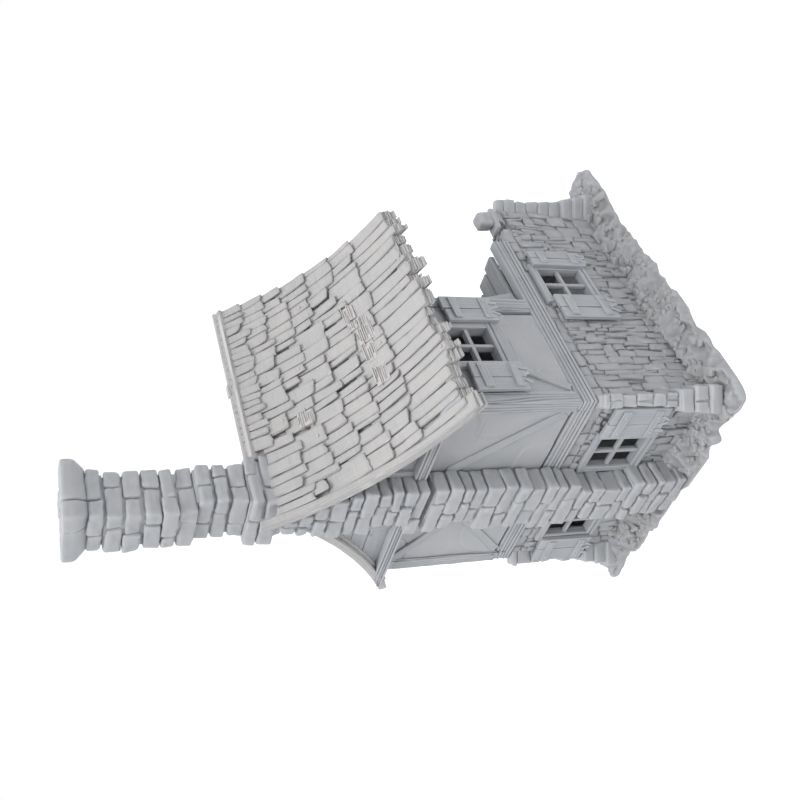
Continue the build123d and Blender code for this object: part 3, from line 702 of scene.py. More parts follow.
breast(0, 45).piece("breast_lower", "ground_storey", "stone", ["chimney_breast_lower"])
breast(45, PLATE_TOP).piece("breast_middle", "upper_storey", "stone", ["chimney_breast_middle"])
upper = breast(PLATE_TOP, 136, under_roof)
PLUG_DEPTH = 4.0
STACK_SEAT = box_mm("stack_courses")[0][2] + PLUG_DEPTH
SHAFT_SEAMS = (PLATE_TOP, 99.0, 104.5, 110.0, 118.0, 123.0, 127.5, 131.5, 135.4)
courses(upper, (GABLE_X - 0.5, -40.6), (0.5, 15.2), SHAFT_SEAMS, 0)
COLLAR = ((-56.0, -37.8), (-3.3, 18.2))
ring_course(upper, COLLAR[0], (COLLAR[1][0] + 0.3, COLLAR[1][1]), (134.4, 139.4), True)
ring_course(upper, *COLLAR, (139.4, STACK_SEAT), False)
upper.piece("breast_upper", "roof", "stone", ["chimney_breast_upper"])

stack = Pile()
courses(stack, (-53.9, -39.2), (-2.2, 16.0), (STACK_SEAT, 148.8, 153.4, 158.2), 0)
courses(stack, (-56.4, -39.6), (-1.2, 15.5), (158.2, 163.5, 167.8, 173.0, 178.0, 183.2), 1)
ring_course(stack, (-55.6, -38.8), (-1.2, 15.5), (183.2, 187.8), True)
solid(stack, (-50.1, 3.6, STACK_SEAT - PLUG_DEPTH), (-44.3, 9.4, STACK_SEAT + 0.5), (1, 1, 1), 0.3)
stack.piece("stack_stones", "chimney_stack", "stone", ["stack_courses"])

cap = Pile()
cap_low, cap_high = box_mm("chimney_cap")
CAP_MIDDLE = (cap_low + cap_high) / 2
CAP_HALF = (cap_high - cap_low) / 2


def flared(p):
    """Draws the cap in at its foot and a little at its top."""
    share = (p[:, 2] - cap_low[2]) / (cap_high[2] - cap_low[2])
    scale = np.interp(share, [0, 0.06, 0.42, 0.55, 0.92, 1.0], [0.78, 0.79, 0.975, 1.0, 1.0, 0.98])
    scales = np.stack([scale, scale, np.ones(len(p))], 1)
    return CAP_MIDDLE + (p - CAP_MIDDLE) * scales


FLUE_HALF = 3.4
CORNER = 6.9
hx, hy = CAP_HALF[:2]
wide_x, wide_y = hx - FLUE_HALF, hy - FLUE_HALF
CAP_BLOCKS = (
    ((-hx, -hy), (-hx + CORNER, -hy + CORNER)),
    ((-hx + CORNER, -hy), (hx, -hy + wide_y)),
    ((-hx, -hy + CORNER), (-hx + wide_x, hy)),
    ((hx - wide_x, -hy + wide_y), (hx, hy - CORNER)),
    ((-hx + wide_x, hy - wide_y), (hx - CORNER, hy)),
    ((hx - CORNER, hy - CORNER), (hx, hy)),
)
for (xa, ya), (xb, yb) in CAP_BLOCKS:
    low = (CAP_MIDDLE[0] + xa + FINE_JOINT, CAP_MIDDLE[1] + ya + FINE_JOINT, cap_low[2])
    high = (CAP_MIDDLE[0] + xb - FINE_JOINT, CAP_MIDDLE[1] + yb - FINE_JOINT, cap_high[2] - 0.3)
    solid(cap, low, high, (8, 8, 10), 0.85, rough_stone(0.13, 3.0), 0.2, flared)
solid(cap, cap_low + (4.5, 4.5, 0.1), cap_high - (4.5, 4.5, 5.0), (2, 2, 1), 0.2)
cap.piece("cap_stones", "chimney_stack", "stone", ["chimney_cap"])

# ---- roof

ROOF_X = (box_mm("roof_slope_front")[0][0], box_mm("roof_slope_front")[1][0] + 1.4)
BACK_ROOF_X = (box_mm("roof_slope_back")[0][0], ROOF_X[1])
VERGE = 1.5
BAND_WIDTH = 1.1
DECK = -1.3
SHINGLE = 0.8
BOARD = 6.8
SCAR_STEP = 0.68
# how wide shingles are and how often: in most rows, and in the front slope's narrow top row
WIDTHS = (3.2, 3.9, 4.7, 5.5, 7.4), (0.2, 0.3, 0.28, 0.14, 0.08)
NARROW_WIDTHS = (2.4, 3.0, 3.6, 4.4), (0.25, 0.3, 0.25, 0.2)
# how far down the slope each row's tips lie
TIPS = (9.4, 16.9, 25.2, 33.3, 43.0, 52.8, 63.0)


def shingle(pile, x, tip, length, place, lean, tilt, rise):
    """One split shingle: its head tucked under the row above, its worn tip standing proud."""
    grain = grooved(1, 0.12, 0.95, 16.0, 0.7)
    head = tip - length
    slant = rng.uniform(-lean, lean)
    roll = rng.uniform(-tilt, tilt)
    middle, half = (x[0] + x[1]) / 2, (x[1] - x[0]) / 2
    lift = rng.uniform(1.0, 1.4) - rise
    round_off = rng.uniform(0.05, 0.45)
    skew = rng.uniform(-1.0, 1.0)
    nick = rng.uniform(-90, 90, 3)

    def laid(p):
        share = np.clip((p[:, 1] - head) / length, 0, 1)
        across = (p[:, 0] - middle) / half
        out = p.copy()
        near_tip = np.clip((share - 0.75) * 4, 0, 1)
        worn = noise(p * (1, 0, 0) + nick, 1.5, 41)
        out[:, 1] += near_tip * (skew * across * 0.5 - round_off * across**4 + 0.35 * worn)
        out[:, 0] += slant * (share - 0.5) * 2 - across * near_tip * 0.12
        out[:, 2] += rise + lift * share + roll * across * share
        return place(out)

    gap = rng.uniform(0.08, 0.3)
    cells = (max(4, round((x[1] - x[0]) * 1.9)), max(6, round(length / 1.1)), 1)
    solid(pile, (x[0] + gap, head, DECK), (x[1] - gap, tip, DECK + SHINGLE), cells, 0.22, grain, 0.1, laid)


def scar(pile, x, t, place, steps, out=0.7):
    """Where the print lost a patch: thin ragged layers stepping down the slope."""
    end = t + steps * SCAR_STEP
    solid(pile, (x[0] + 0.5, t, -0.9), (x[1] - 0.5, end, out - 0.2), (3, 3, 1), 0.14, None, 0.15, place)
    for step in range(steps):
        at = t + step * SCAR_STEP
        middle = (x[0] + x[1]) / 2 + rng.uniform(-1.2, 1.2)
        half = (x[1] - x[0]) / 2 * rng.uniform(0.35, 1.0)
        rise = out + rng.uniform(0.0, 0.35)
        solid(pile, (middle - half, at, -0.9), (middle + half, at + rng.uniform(0.22, 0.36), rise), (4, 1, 1), 0.12,
              None, 0.14, place)


def fringe(pile, x, reach, place):
    """The ragged layered edge of an eave shingle, each layer further out than the one above it."""
    grow = rng.uniform(0.30, 0.62)
    side = rng.uniform(-0.5, 0.5)
    count = int(rng.integers(5, 9))
    for step in range(count):
        top = 0.1 - 0.42 * step
        share = step / (count - 1)
        inset = 0.1 + 0.9 * share**2 * rng.uniform(0.3, 1.2)
        tip = reach + 0.1 + step * grow + rng.uniform(-0.25, 0.25)
        low, high = x[0] + inset + side * share, x[1] - inset + side * share
        if high - low > 0.8:
            solid(pile, (low, SLOPE - 4.5, top - 0.36), (high, tip, top), (5, 5, 1), 0.16, None, 0.22, place)


def roof_slope(name, node, side, ends, chimney, scars, slots):
    """The boarded slope and its rows of shingles, left out where the chimney passes.

    chimney is (from, to, how far down) in X and along the slope. A scar is its span, place and number of layers.
    A slot is its place, its row and how far the shingle there is broken back.
    """
    pile, pale = Pile(), Pile()
    place = on_slope(side)
    down = 0.4
    while down < SLOPE - 3.2:
        end = min(down + BOARD, SLOPE - 2.8)
        start = ends[0] + 0.3
        for a, b, limit in chimney:
            if down < limit and a < start + 0.5:
                start = max(start, b)
        solid(pile, (start, down, -3.3), (ends[1] - 0.3, end + 0.08, DECK - 0.05), (26, 5, 1), 0.15, grooved(0, 0.12),
              place=place)
        down = end
    above = 0.0
    for row, tip in enumerate(TIPS):
        x = ends[0]
        narrow = row == 0 and side < 0
        last = row == len(TIPS) - 1
        lean, tilt = (0.55, 0.45) if narrow else (0.3, 0.28)
        sizes, odds = NARROW_WIDTHS if narrow else WIDTHS
        while x < ends[1] - 0.5:
            wide = rng.choice(sizes, p=odds) * rng.uniform(0.93, 1.07)
            end = x + wide if ends[1] - x - wide > 2.2 else ends[1]
            middle = (x + end) / 2
            reach = tip + float(np.clip(rng.normal(0, 0.85), -2.0, 1.8))
            if last:
                reach = SLOPE + rng.uniform(-1.9, 0.6)
            slit = 0.0
            for slot_x, slot_row, back in slots:
                if slot_row == row and x <= slot_x < end:
                    reach -= back * 0.5
                    slit = 1.2
            if not any(a < middle < b and tip < limit for a, b, limit in chimney):
                length = reach - 0.2 if row == 0 else reach - above + rng.uniform(3.0, 4.0)
                shingle(pile, (x + slit, end), reach, length, place, lean, tilt, 0.55 if row == 0 else 0.0)
                if last:
                    fringe(pile, (x, end), reach, place)
                # a few nail heads in the lighter scar colour, a painted highlight
                if row and rng.random() < 0.12:
                    spot = np.array([middle + rng.uniform(-1, 1), reach - rng.uniform(1.4, 3.5), 0.55])
                    solid(pale, spot - 0.5, spot + (0.5, 0.5, 0.4), (1, 1, 1), 0.42, None, 0.1, place)
            x = end
        above = tip
    for x, t, steps in scars:
        scar(pale, x, t, place, steps)
    # the scars and nail heads take the scar colour, a painted highlight on the grey shingle
    pale.piece(name + "_scars_painted_highlight", "roof", "scar")
    pile.piece(name, "roof", "shingle", [node])


FRONT_SCARS = [
    ((-35.0, -28.5), 18.4, 7), ((-35.5, -27.0), 45.4, 7), ((-25.0, -17.0), 44.8, 6), ((-17.5, -9.5), 44.6, 9),
    ((-10.0, -5.5), 42.6, 7), ((-5.5, 1.5), 42.2, 6), ((-11.0, -6.5), 48.0, 3)]
FRONT_SLOTS = [
    (-56.0, 2, 4.0), (-31.0, 1, 3.0), (-31.0, 2, 6.0), (-16.0, 2, 5.0), (1.9, 2, 3.5), (14.0, 4, 2.5),
    (-27.0, 4, 1.6), (-17.0, 4, 2.0), (0.5, 4, 2.2), (-45.0, 4, 2.6), (-57.0, 6, 3.2)]
BACK_SCARS = [((-20.0, -15.0), 40.0, 5), ((6.0, 11.0), 28.0, 4)]
BACK_SLOTS = [(-28.0, 3, 4.0), (4.0, 1, 3.5), (-10.0, 4, 4.0)]
roof_slope("shingles_front", "roof_slope_front", -1, (ROOF_X[0] + BAND_WIDTH, ROOF_X[1]),
           [(-80.0, COLLAR[0][1] + 0.2, 11.5)], FRONT_SCARS, FRONT_SLOTS)
roof_slope("shingles_back", "roof_slope_back", 1, BACK_ROOF_X, [(-70.0, -38.4, 24.0)], BACK_SCARS, BACK_SLOTS)

VERGE_X = ROOF_X[0] - VERGE
barge = Pile()
for side, low, high, start in ((-1, VERGE_X, ROOF_X[0] + BAND_WIDTH, 0.2),
                               (1, BACK_ROOF_X[0] - VERGE, BACK_ROOF_X[0] + 0.3, 16.0)):
    solid(barge, (low, start, -2.5), (high, SLOPE - 0.4, 0.3), (8, 60, 8), 0.5, grooved(1, 0.13, 1.0), 0.15,
          on_slope(side))
# bare layers at the strip's tip, each a different length
for at, long in ((0.0, 1.5), (0.7, 2.4), (1.4, 1.9), (2.1, 2.8)):
    solid(barge, (VERGE_X + 0.1, SLOPE - 6, 0.1 - at - 0.6), (ROOF_X[0] + BAND_WIDTH + 2.5, SLOPE + long, 0.1 - at),
          (7, 5, 1), 0.2, None, 0.35, on_slope(-1))
barge.piece("barge_strips", "roof", "shingle", ["barge_boards"])
under = Pile()
for side in (-1, 1):
    solid(under, (ROOF_X[1] - 1.6, 0.2, -3.5), (ROOF_X[1] - 0.1, SLOPE - 1.6, DECK), (2, 60, 4), 0.3,
          grooved(1, 0.12, 0.9), 0.08, on_slope(side))
under.piece("barge_timbers", "roof", "timber")

ridge = Pile()
ridge_low, ridge_high = box_mm("ridge_board")
RIDGE_TOP = 142.4
solid(ridge, (ridge_low[0], -0.65, RIDGE_TOP - 5), (ridge_high[0] - 0.1, 0.65, RIDGE_TOP), (50, 3, 5), 0.25,
      grooved(0, 0.08), 0.05)
solid(ridge, (-11.4, -0.8, RIDGE_TOP - 0.5), (-6.4, 0.8, RIDGE_TOP + 0.5), (3, 2, 1), 0.3, rough_stone(0.15))
ridge.piece("ridge_timber", "roof", "shingle", ["ridge_board"])


def beam(pile, low, high, depth=0.16, pitch=0.85, edge=0.3, fine=0.3, warp=0.06):
    """A grooved timber along the longest side of a box."""
    low, high = np.asarray(low, float), np.asarray(high, float)
    size = high - low
    axis = int(np.argmax(size))
    cells = [max(2, min(26, round(s / fine))) for s in size]
    cells[axis] = max(3, min(60, round(size[axis] / 2.2)))
    solid(pile, low, high, tuple(cells), edge, grooved(axis, depth, pitch), warp)


def ribs(pile, low, high, count, axis, outs=(0.0, -0.3), place=None):
    """A moulded beam: level ribs one above the other, their faces in and out by turns."""
    low, high = np.array(low, float), np.array(high, float)
    edges = np.linspace(low[2], high[2], count + 1)
    across = 1 - axis
    rib_cells, core_cells = [2, 2, 2], [1, 1, 1]
    rib_cells[axis], core_cells[axis] = max(4, round((high - low)[axis] / 2.5)), 12
    for i, (a, b) in enumerate(zip(edges, edges[1:])):
        grow = outs[i % len(outs)]
        spans = {across: (low[across] - grow, high[across] + grow), 2: (a + FINE_JOINT, b - FINE_JOINT)}
        solid(pile, *refit(low, high, spans), tuple(rib_cells), 0.26, None, 0.05, place)
    solid(pile, low + 0.75, high - 0.75, tuple(core_cells), 0.1, place=place)


ROOF_YS = np.linspace(0, 46, 300)
ROOF_HEIGHTS = np.array([slope_height(y) for y in ROOF_YS])
ties = Pile()
tie_low, tie_high = box_mm("tie_beams")
TIE_REACH = 44.6


def below_roof(p):
    """Keeps a tie beam's ends under the roof's surface."""
    reach = np.abs(p[:, 1])
    ceiling = np.interp(reach, ROOF_YS, ROOF_HEIGHTS) - 0.5
    out = p.copy()
    out[:, 2] = np.minimum(out[:, 2], ceiling - 0.15 * (TIE_Z[1] - out[:, 2]))
    return out


GABLE_TIE_X = (BACK_ROOF_X[0] - 1.9, GABLE_X + 3)
END_TIE_X = (tie_high[0] - 4.4, tie_high[0])
TIE_Z = (tie_low[2] + 0.5, tie_high[2] + 0.8)
for x, y in ((GABLE_TIE_X, (-TIE_REACH, -11.5)), (GABLE_TIE_X, (9.0, TIE_REACH)),
             (END_TIE_X, (2 - TIE_REACH, TIE_REACH - 2))):
    ribs(ties, *zip(x, y, TIE_Z), 4, 1, place=below_roof)
ties.piece("tie_timbers", "roof", "timber", ["tie_beams"])


def half_width(z, under):
    """How far from the ridge line the roof is, at a height and a depth below its surface."""
    return np.interp(-np.asarray(z), under - ROOF_HEIGHTS, ROOF_YS)


def attic_boards(low_x, high_x, gap):
    """Level boards that close a gable triangle and run up to the curve of the roof, past a gap for the breast."""
    pile = Pile()
    z = TIE_TOP + 0.4
    while z < 135:
        top = z + rng.uniform(5.2, 6.8)
        half = float(half_width((z + top) / 2, 3.0))

        def stretch(p):
            y = np.abs(p[:, 1])
            fitted = np.minimum(y * half_width(p[:, 2], 3.0) / half, half_width(p[:, 2], 1.5))
            return np.stack([p[:, 0], np.where(y > half * 0.6, np.sign(p[:, 1]) * fitted, p[:, 1]), p[:, 2]], 1)

        for lo, hi in ((-half, gap[0]), (gap[1], half)):
            if hi - lo < 1.0:
                continue
            out = rng.uniform(-0.12, 0.12)
            solid(pile, (low_x + out, lo, z + 0.09), (high_x + out, hi, top - 0.09), (2, 12, 8), 0.28,
                  grooved(1, 0.12, 0.95), 0.05, stretch)
        z = top
    return pile


boards_low, boards_high = box_mm("gable_boards")
gable_boards = attic_boards(boards_low[0] - 0.6, boards_high[0], (-2.0, 14.0))
for y in (12.4, -13.0):
    top = slope_height(abs(y) + 2.2) - 3.0
    beam(gable_boards, (boards_low[0] - 1.5, y, TIE_TOP), (boards_low[0] + 1, y + 2.2, top), 0.25, 0.75)
gable_boards.piece("gable_boarding", "roof", "timber", ["gable_boards"])
boards_low, boards_high = box_mm("end_gable_boards")
end_boards = attic_boards(boards_low[0], boards_high[0], (0.0, 0.0))
end_boards.piece("end_boarding", "roof", "timber", ["end_gable_boards"])

# ---- upper storey timbers


def timbers(name, nodes, **look):
    """Grooved timbers in place of the plain ones of these nodes."""
    pile = Pile()
    for node in nodes:
        for low, high in islands(node):
            beam(pile, low, high, **look)
    pile.piece(name, "upper_storey", "timber", nodes)


timbers("posts", ["corner_posts_front", "corner_posts_back"], depth=0.5, pitch=1.15, fine=0.24)
timbers("plates", ["wall_plate_front", "wall_plate_back"], depth=0.16)
timbers("joists", ["floor_joists"])
timbers("planks", ["floor_boards"], depth=0.2, pitch=0.9, edge=0.6)

SILL_BEAMS = ("sill_beam_front", "sill_beam_back", "sill_beam_gable")
sills = Pile()
for node in SILL_BEAMS:
    for low, high in islands(node):
        ribs(sills, low, high, 5, int(np.argmax(high - low)), (0.1, 0.0, -0.3, -0.15, -0.6))
sills.piece("sill_timbers", "upper_storey", "timber", SILL_BEAMS)


def plaster(name, node, axis, holes=()):
    """A plastered panel: gently uneven, with the broken edges of fallen patches."""
    pile = Pile()
    low, high = box_mm(node)
    along = 1 - axis
    shift = rng.uniform(-50, 50, 3)

    def relief(p, normal):
        flat = p + shift
        soft = 0.10 * noise(flat, 9.0, 11, 2)
        shown = np.clip(4 * noise(flat, 26.0, 27, 1), 0, 1)
        edge = 0.28 * np.clip(0.5 + noise(flat, 24.0, 13, 1) / 0.03, 0, 1)
        cracks = -0.42 * shown * np.clip(1 - np.abs(noise(flat, 30.0, 21, 1)) / 0.012, 0, 1)
        return np.where(np.abs(normal[:, axis]) > 0.9, soft + edge + cracks, 0)

    inner_cuts = [u for hole in holes for u in hole[:2] if low[along] < u < high[along]]
    inner_levels = [z for hole in holes for z in hole[2:] if low[2] < z < high[2]]
    cuts = sorted({low[along], high[along], *inner_cuts})
    levels = sorted({low[2], high[2], *inner_levels})
    for u0, u1 in zip(cuts, cuts[1:]):
        for z0, z1 in zip(levels, levels[1:]):
            middle_u, middle_z = (u0 + u1) / 2, (z0 + z1) / 2
            if any(a < middle_u < b and c < middle_z < d for a, b, c, d in holes):
                continue
            lo, hi = refit(low, high, {along: (u0 - 0.02, u1 + 0.02), 2: (z0 - 0.02, z1 + 0.02)})
            cells = [max(1, round(s / 0.36)) for s in hi - lo]
            cells[axis] = 1
            solid(pile, lo, hi, tuple(cells), 0.05, relief)
    pile.piece(name, "upper_storey", "plaster", [node])


upper_hole = node_hole("window_upper_front", 0)
torn = (-14.9, -13.1, 50.0, 64.0)
end_door = (-8.0, 8.0, 50.0, 82.0)
plaster("panel_front", "plaster_front", 1, [upper_hole, torn])
plaster("panel_back", "plaster_back", 1, [upper_hole])
plaster("panel_gable", "plaster_gable", 0)
plaster("panel_end", "plaster_end", 0, [end_door])


def brace(pile, start, end, width, face, axis, side, thick=1.6):
    """A flat brace between two places on a wall: axis is the wall's normal, face and side its outer side."""
    start, end = np.array(start, float), np.array(end, float)
    length = float(np.linalg.norm(end - start))
    angle = math.atan2(end[1] - start[1], end[0] - start[0])
    grain = grooved(0, 0.14)

    def place(p):
        u = start[0] + p[:, 0] * math.cos(angle) - p[:, 1] * math.sin(angle)
        z = start[1] + p[:, 0] * math.sin(angle) + p[:, 1] * math.cos(angle)
        columns = [None, None, z]
        columns[axis] = face + p[:, 2] * side
        columns[1 - axis] = u
        return np.stack(columns, 1)

    solid(pile, (0, -width / 2, -thick), (length, width / 2, 0), (24, 9, 1), 0.25, grain, 0.08, place)


braces = Pile()
front, back, gable, end = FRONT_Y + 0.1, BACK_Y - 0.1, GABLE_X + 0.1, UPPER_END_X - 0.1
brace(braces, (-47.6, 51.6), (-39.2, 66.4), 2.6, front, 1, -1)
brace(braces, (-13.8, 52.0), (-21.5, 66.0), 2.6, back, 1, 1)
brace(braces, (-48.2, 52.0), (-40.5, 66.0), 2.6, back, 1, 1)
brace(braces, (-10.4, 84.2), (-34.8, 54.0), 3.3, gable, 0, -1)
brace(braces, (34.8, 91.0), (9.0, 71.2), 3.0, gable, 0, -1)
brace(braces, (33.6, 52.4), (10.6, 74.6), 3.4, gable, 0, -1)
for way in (-1, 1):
    brace(braces, (way * 34.0, 53.0), (way * 12.0, 81.0), 2.6, end, 0, 1)
    brace(braces, (way * 9.5, 52.2), (way * 9.5, PLATE_TOP), 2.6, end, 0, 1)
braces.piece("wall_braces", "upper_storey", "timber", ["braces_front", "braces_back", "braces_gable", "braces_end"])

stub = Pile()
brace(stub, (-6.4, 65.6), (-2.6, 51.8), 3.6, -37.0, 1, -1, 3.0)
stub.piece("brace_stub", "upper_storey", "timber", ["raking_brace"])

# ---- windows and shutters

RAIL = 2.4
BAR = 1.3


def window(name, node, body, axis):
    """A frame of grooved rails with a cross of bars, its head and sill a little longer."""
    pile = Pile()
    low, high = box_mm(node)
    along = 1 - axis
    middle = (low + high) / 2

    def rail(u0, u1, z0, z1, inset=0.0):
        spans = {along: (u0, u1), 2: (z0, z1), axis: (low[axis] + inset, high[axis] - inset)}
        beam(pile, *refit(low, high, spans), 0.12, 0.7)

    left, right, foot, head = low[along], high[along], low[2], high[2]
    rail(left, left + RAIL, foot + RAIL, head - RAIL, 0.15)
    rail(right - RAIL, right, foot + RAIL, head - RAIL, 0.15)
    rail(left - 0.2, right + 0.2, head - RAIL, head)
    rail(left - 0.1, right + 0.1, foot + 1.25, foot + RAIL + 0.2)
    rail(left - 0.5, right + 0.5, foot - 0.1, foot + 1.1, -0.35)
    rail(middle[along] - BAR / 2, middle[along] + BAR / 2, foot + RAIL - 0.2, head - RAIL + 0.2, 0.9)
    rail(left + RAIL - 0.2, right - RAIL + 0.2, middle[2] - BAR / 2, middle[2] + BAR / 2, 0.95)
    pile.piece(name, body, "timber", [node])


GROUND, UPPER = "ground_storey", "upper_storey"
for place, body, axis in (("ground_front", GROUND, 1), ("gable_near", GROUND, 0), ("gable_far", GROUND, 0),
                          ("upper_front", UPPER, 1), ("upper_back", UPPER, 1)):
    window("frame_" + place, "window_" + place, body, axis)


def shutter(name, node, body, axis):
    """Two boards behind two battens, with nail heads and splinters under the boards."""
    pile = Pile()
    low, high = box_mm(node)
    along = 1 - axis
    size = high - low
    front = low[axis]
    cut = low[along] + size[along] * rng.uniform(0.42, 0.58)
    for a, b in ((low[along], cut - 0.15), (cut + 0.15, high[along])):
        z = (low[2] + rng.uniform(0, 0.7), high[2] - rng.uniform(0, 0.7))
        board = refit(low, high, {along: (a, b), axis: (front + 0.6, high[axis]), 2: z})
        beam(pile, *board, 0.11, 0.8, 0.25, warp=0.15)
    for share in (0.2, 0.78):
        z = low[2] + size[2] * share
        spans = {along: (low[along] + 0.9, high[along] - 0.9), axis: (front, front + 1.3), 2: (z - 1.35, z + 1.35)}
        beam(pile, *refit(low, high, spans), 0.12, 0.7, 0.3, warp=0.2)
        for at in (0.24, 0.76):
            u = low[along] + size[along] * at
            spans = {along: (u - 0.45, u + 0.45), axis: (front - 0.25, front + 0.5), 2: (z - 0.45, z + 0.45)}
            solid(pile, *refit(low, high, spans), (1, 1, 1), 0.4)
    for share, angle in ((0.3, 28.0), (0.5, -22.0), (0.72, 12.0)):
        u = low[along] + size[along] * share
        spans = {along: (u - 0.5, u + 0.5), axis: (front + 0.2, front + 0.8), 2: (low[2] - 0.9, low[2] + 2.6)}
        lo, hi = refit(low, high, spans)
        solid(pile, lo, hi, (2, 1, 3), 0.2, None, 0.15, turned((lo + hi) / 2, angle, axis))
    pile.piece(name, body, "timber", [node])


for place, body, axis in (("ground_left", GROUND, 1), ("ground_right", GROUND, 1), ("upper_left", UPPER, 1),
                          ("upper_right", UPPER, 1), ("gable_near", GROUND, 0), ("gable_far", GROUND, 0)):
    shutter("leaf_" + place, "shutter_" + place, body, axis)

# ---- ground, floor and door

OUTLINE = np.array([(-62.8, -49.4), (63.0, 49.4)])
SQUARENESS = 22.0
MOST_WOBBLE = 0.75
PEBBLES = 700


def ground():
    """Rocky turf from the walls out to a ragged edge, closed underneath."""
    around, across = 900, 36
    angle = np.linspace(0, 2 * math.pi, around, endpoint=False)
    direction = np.stack([np.cos(angle), np.sin(angle)], 1)
    # the rim is a rectangle with tightly rounded corners
    reach, middle = (OUTLINE[1] - OUTLINE[0]) / 2, (OUTLINE[0] + OUTLINE[1]) / 2
    scale = (np.abs(direction / reach) ** SQUARENESS).sum(1) ** (-1 / SQUARENESS)
    rim = direction * scale[:, None] + middle
    inner_half = np.array([(HOUSE_END_X - GABLE_X) / 2 - 1.0, BACK_Y - 1.0])
    inner_middle = np.array([(HOUSE_END_X + GABLE_X) / 2, 0.0])
    inner_scale = (np.abs((rim - inner_middle) / inner_half)).max(1)
    inner = inner_middle + (rim - inner_middle) / inner_scale[:, None]
    rim3 = np.concatenate([rim, np.zeros((around, 1))], 1)
    wobble = 2.8 * noise(rim3, 9.0, 17, 2) + 1.1 * noise(rim3, 3.4, 19, 2) - 0.2
    outward = rim - inner_middle
    outward /= np.linalg.norm(outward, axis=1)[:, None]
    rim = rim + outward * np.minimum(wobble, MOST_WOBBLE)[:, None]
    share = np.linspace(0, 1, across)[None, :, None]
    grid = inner[:, None, :] * (1 - share) + rim[:, None, :] * share
    flat = np.concatenate([grid.reshape(-1, 2), np.zeros((around * across, 1))], 1)
    s = np.tile(np.linspace(0, 1, across), around)
    base = np.interp(s, [0, 0.12, 0.45, 0.85, 1.0], [6.2, 5.8, 3.7, 2.2, 1.1])
    ridges = 1 - np.abs(noise(flat, 6.5, 23, 3)) * 1.6
    lumps = noise(flat, 1.7, 29, 2)
    height = base + 1.9 * (ridges - 0.5) + 0.5 * lumps
    # the turf sinks away under the breast's foot
    by_breast = np.clip((-58.5 - flat[:, 0]) / 2, 0, 1) * np.clip((11.5 - np.abs(flat[:, 1] + 2.5)) / 2, 0, 1)
    flat[:, 2] = np.maximum(height * (1 - by_breast), 0.5)
    # a broad shoulder at the rim, then straight down to the table
    top = flat.reshape(around, across, 3)
    foot = top[:, -1].copy()
    foot[:, :2] += outward * 0.25
    foot[:, 2] = np.minimum(0.35, foot[:, 2])
    under = foot * (1, 1, 0)
    loops = np.concatenate([top, foot[:, None], under[:, None]], 1)
    per = across + 2
    points = loops.reshape(-1, 3)
    faces = []
    for i in range(around):
        j = (i + 1) % around
        faces += [(i * per + k, i * per + k + 1, j * per + k + 1, j * per + k) for k in range(per - 1)]
    faces.append([i * per for i in range(around)])
    faces.append([i * per + per - 1 for i in reversed(range(around))])
    mesh = bpy.data.meshes.new("ground")
    mesh.from_pydata((points * MM).tolist(), [], faces)
    mesh.update()
    mesh.shade_smooth()
    show(mesh, "ground_storey", "turf", ["base_slab", "turf_bank"])
    pebbles = Pile()
    for _ in range(PEBBLES):
        i = rng.integers(around)
        k = rng.integers(1, across - 2)
        at = top[i, k] - (0, 0, rng.uniform(0, 0.5))
        half = rng.choice((0.6, 0.9, 1.3, 1.9), p=(0.34, 0.34, 0.22, 0.1)) * rng.uniform(0.7, 1.15, 3) * (1, 1, 0.75)
        room = min(at[0] + 63.9, 63.9 - at[0], at[1] + 50.4, 50.4 - at[1])
        if room < half[:2].max() * 1.25 or at[2] - half[2] < 0.35:
            continue
        solid(pebbles, at - half, at + half, (2, 2, 2), 0.55 * half.min(), rough_stone(0.22, 1.1), 0.3 * half.min(),
              turned(at, rng.uniform(0, 90)))
    # the loose stones take the turf's darker grey, painted shade
    pebbles.piece("rubble_stones", "ground_storey", "turf")


ground()

paving = Pile()
floor_low, floor_high = box_mm("floor_flags")
solid(paving, floor_low, (floor_high[0], floor_high[1], floor_high[2] - 0.5), (2, 2, 1), 0.1)
flags = rubble_layout((floor_low[0], floor_high[0]), (floor_low[1], floor_high[1]), cell=(3.4, 3.0))
for x0, x1, y0, y1 in flags:
    top = floor_high[2] + rng.uniform(-0.2, 0)
    solid(paving, (x0 + 0.2, y0 + 0.2, floor_high[2] - 0.9), (x1 - 0.2, y1 - 0.2, top), (3, 3, 1), 0.3,
          rough_stone(0.1, 2.5), 0.2)
paving.piece("floor_paving", "ground_storey", "stone", ["floor_flags"])

door = Pile()
door_low, door_high = box_mm("door_boards")
cuts = np.linspace(door_low[0], door_high[0], 5)
for a, b in zip(cuts, cuts[1:]):
    plank = refit(door_low, door_high, {0: (a + 0.08, b - 0.08), 1: (door_low[1] + 0.1, door_high[1] - 0.1)})
    beam(door, *plank, 0.1, 0.7, 0.25)
for z in (door_low[2] + 4, door_high[2] - 6):
    beam(door, (door_low[0] + 0.6, door_low[1], z), (door_high[0] - 0.6, door_low[1] + 0.4, z + 2.4), 0.05, 0.8, 0.15)
door.piece("door_planks", "door", "timber", ["door_boards"])

# ---- what stays as the CAD made it

for name, look in (("roof_trusses", "timber"), ("door_frame", "timber"),
                   ("door_strap_hinges", "iron"), ("door_ring", "iron")):
    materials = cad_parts[name].data.materials
    materials.clear()
    materials.append(MATERIALS[look])

# ---- floor, light and camera


# how bright the sky is from the horizon up: dimmer between the horizon and the zenith, like a light tent
SKY = ((0.0, 1.0), (0.03, 1.0), (0.12, 0.62), (0.5, 0.8), (1.0, 1.6))
LAMP_PLACE, LAMP_AIM = Vector((-0.40, -0.22, 1.15)), Vector((0, 0, 0.08))
CAMERA_PLACE = Vector((-0.2165, -0.21296, 0.20458))
HEADING, DOWN, ROLL = math.radians(43.58), math.radians(22.06), math.radians(-1.11)


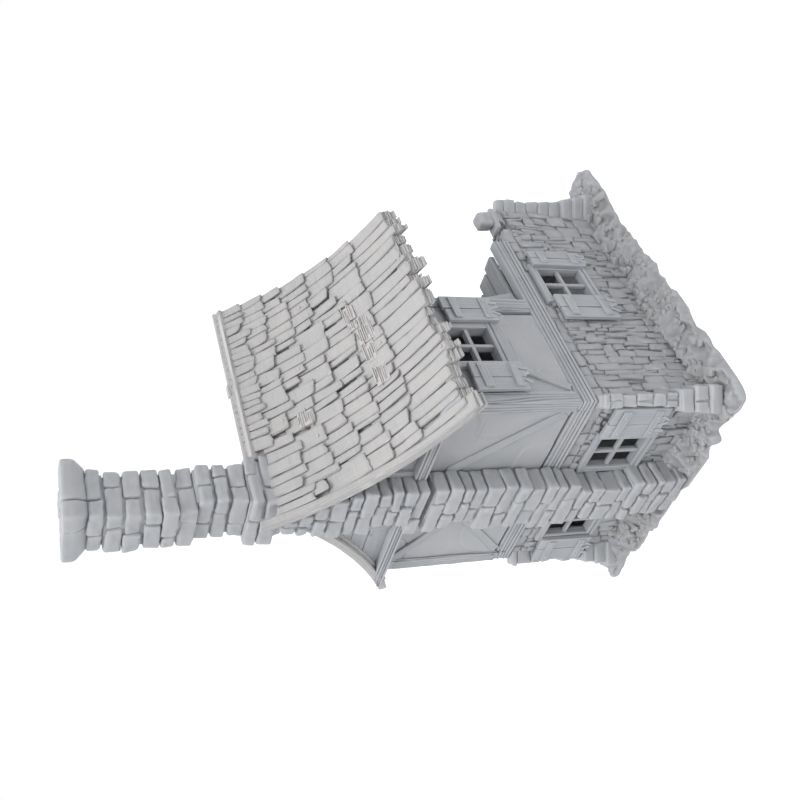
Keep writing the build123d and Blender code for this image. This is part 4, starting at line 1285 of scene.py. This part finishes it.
def studio():
    """A pale floor, a bright sky, one broad lamp, and a camera that sees the ruin lying on its side."""
    mesh = bpy.data.meshes.new("studio_floor")
    wide = 30.0
    mesh.from_pydata([(-wide, -wide, 0), (wide, -wide, 0), (wide, wide, 0), (-wide, wide, 0)], [], [(0, 1, 2, 3)])
    floor = bpy.data.objects.new("studio_floor", mesh)
    bpy.context.scene.collection.objects.link(floor)
    white = bpy.data.materials.new("studio_white")
    white.use_nodes = True
    shader = white.node_tree.nodes["Principled BSDF"]
    shader.inputs["Base Color"].default_value = (0.93, 0.93, 0.93, 1)
    shader.inputs["Roughness"].default_value = 0.9
    mesh.materials.append(white)

    world = bpy.data.worlds.new("studio_sky")
    bpy.context.scene.world = world
    world.use_nodes = True
    sky = world.node_tree.nodes["Background"]
    sky.inputs["Strength"].default_value = 1.0
    where = world.node_tree.nodes.new("ShaderNodeTexCoord")
    split = world.node_tree.nodes.new("ShaderNodeSeparateXYZ")
    ramp = world.node_tree.nodes.new("ShaderNodeValToRGB")
    world.node_tree.links.new(where.outputs["Generated"], split.inputs["Vector"])
    world.node_tree.links.new(split.outputs["Z"], ramp.inputs["Fac"])
    world.node_tree.links.new(ramp.outputs["Color"], sky.inputs["Color"])
    while len(ramp.color_ramp.elements) < len(SKY):
        ramp.color_ramp.elements.new(0.5)
    for element, (at, level) in zip(ramp.color_ramp.elements, SKY):
        element.position = at
        element.color = (level, level, level * 1.01, 1)

    lamp = bpy.data.lights.new("key", "AREA")
    lamp.size = 0.5
    lamp.energy = 8.5
    lamp.color = (1.0, 0.99, 0.975)
    key = bpy.data.objects.new("key", lamp)
    bpy.context.scene.collection.objects.link(key)
    key.location = LAMP_PLACE
    key.rotation_euler = (LAMP_AIM - LAMP_PLACE).to_track_quat("-Z", "Y").to_euler()

    camera = bpy.data.cameras.new("camera")
    camera.sensor_width = 36.0
    camera.lens = 42.57
    seen = bpy.data.objects.new("camera", camera)
    bpy.context.scene.collection.objects.link(seen)
    forward = Vector((math.sin(HEADING) * math.cos(DOWN), math.cos(HEADING) * math.cos(DOWN), -math.sin(DOWN)))
    level = Vector((math.cos(HEADING), -math.sin(HEADING), 0))
    upward = level.cross(forward)
    right = math.cos(ROLL) * level + math.sin(ROLL) * upward
    top = -math.sin(ROLL) * level + math.cos(ROLL) * upward
    # the ruin's top points to the left of the picture
    turn = Matrix((-top, right, -forward)).transposed().to_4x4()
    seen.matrix_world = Matrix.Translation(CAMERA_PLACE) @ turn
    bpy.context.scene.camera = seen
    bpy.context.scene.view_settings.view_transform = "Standard"


studio()
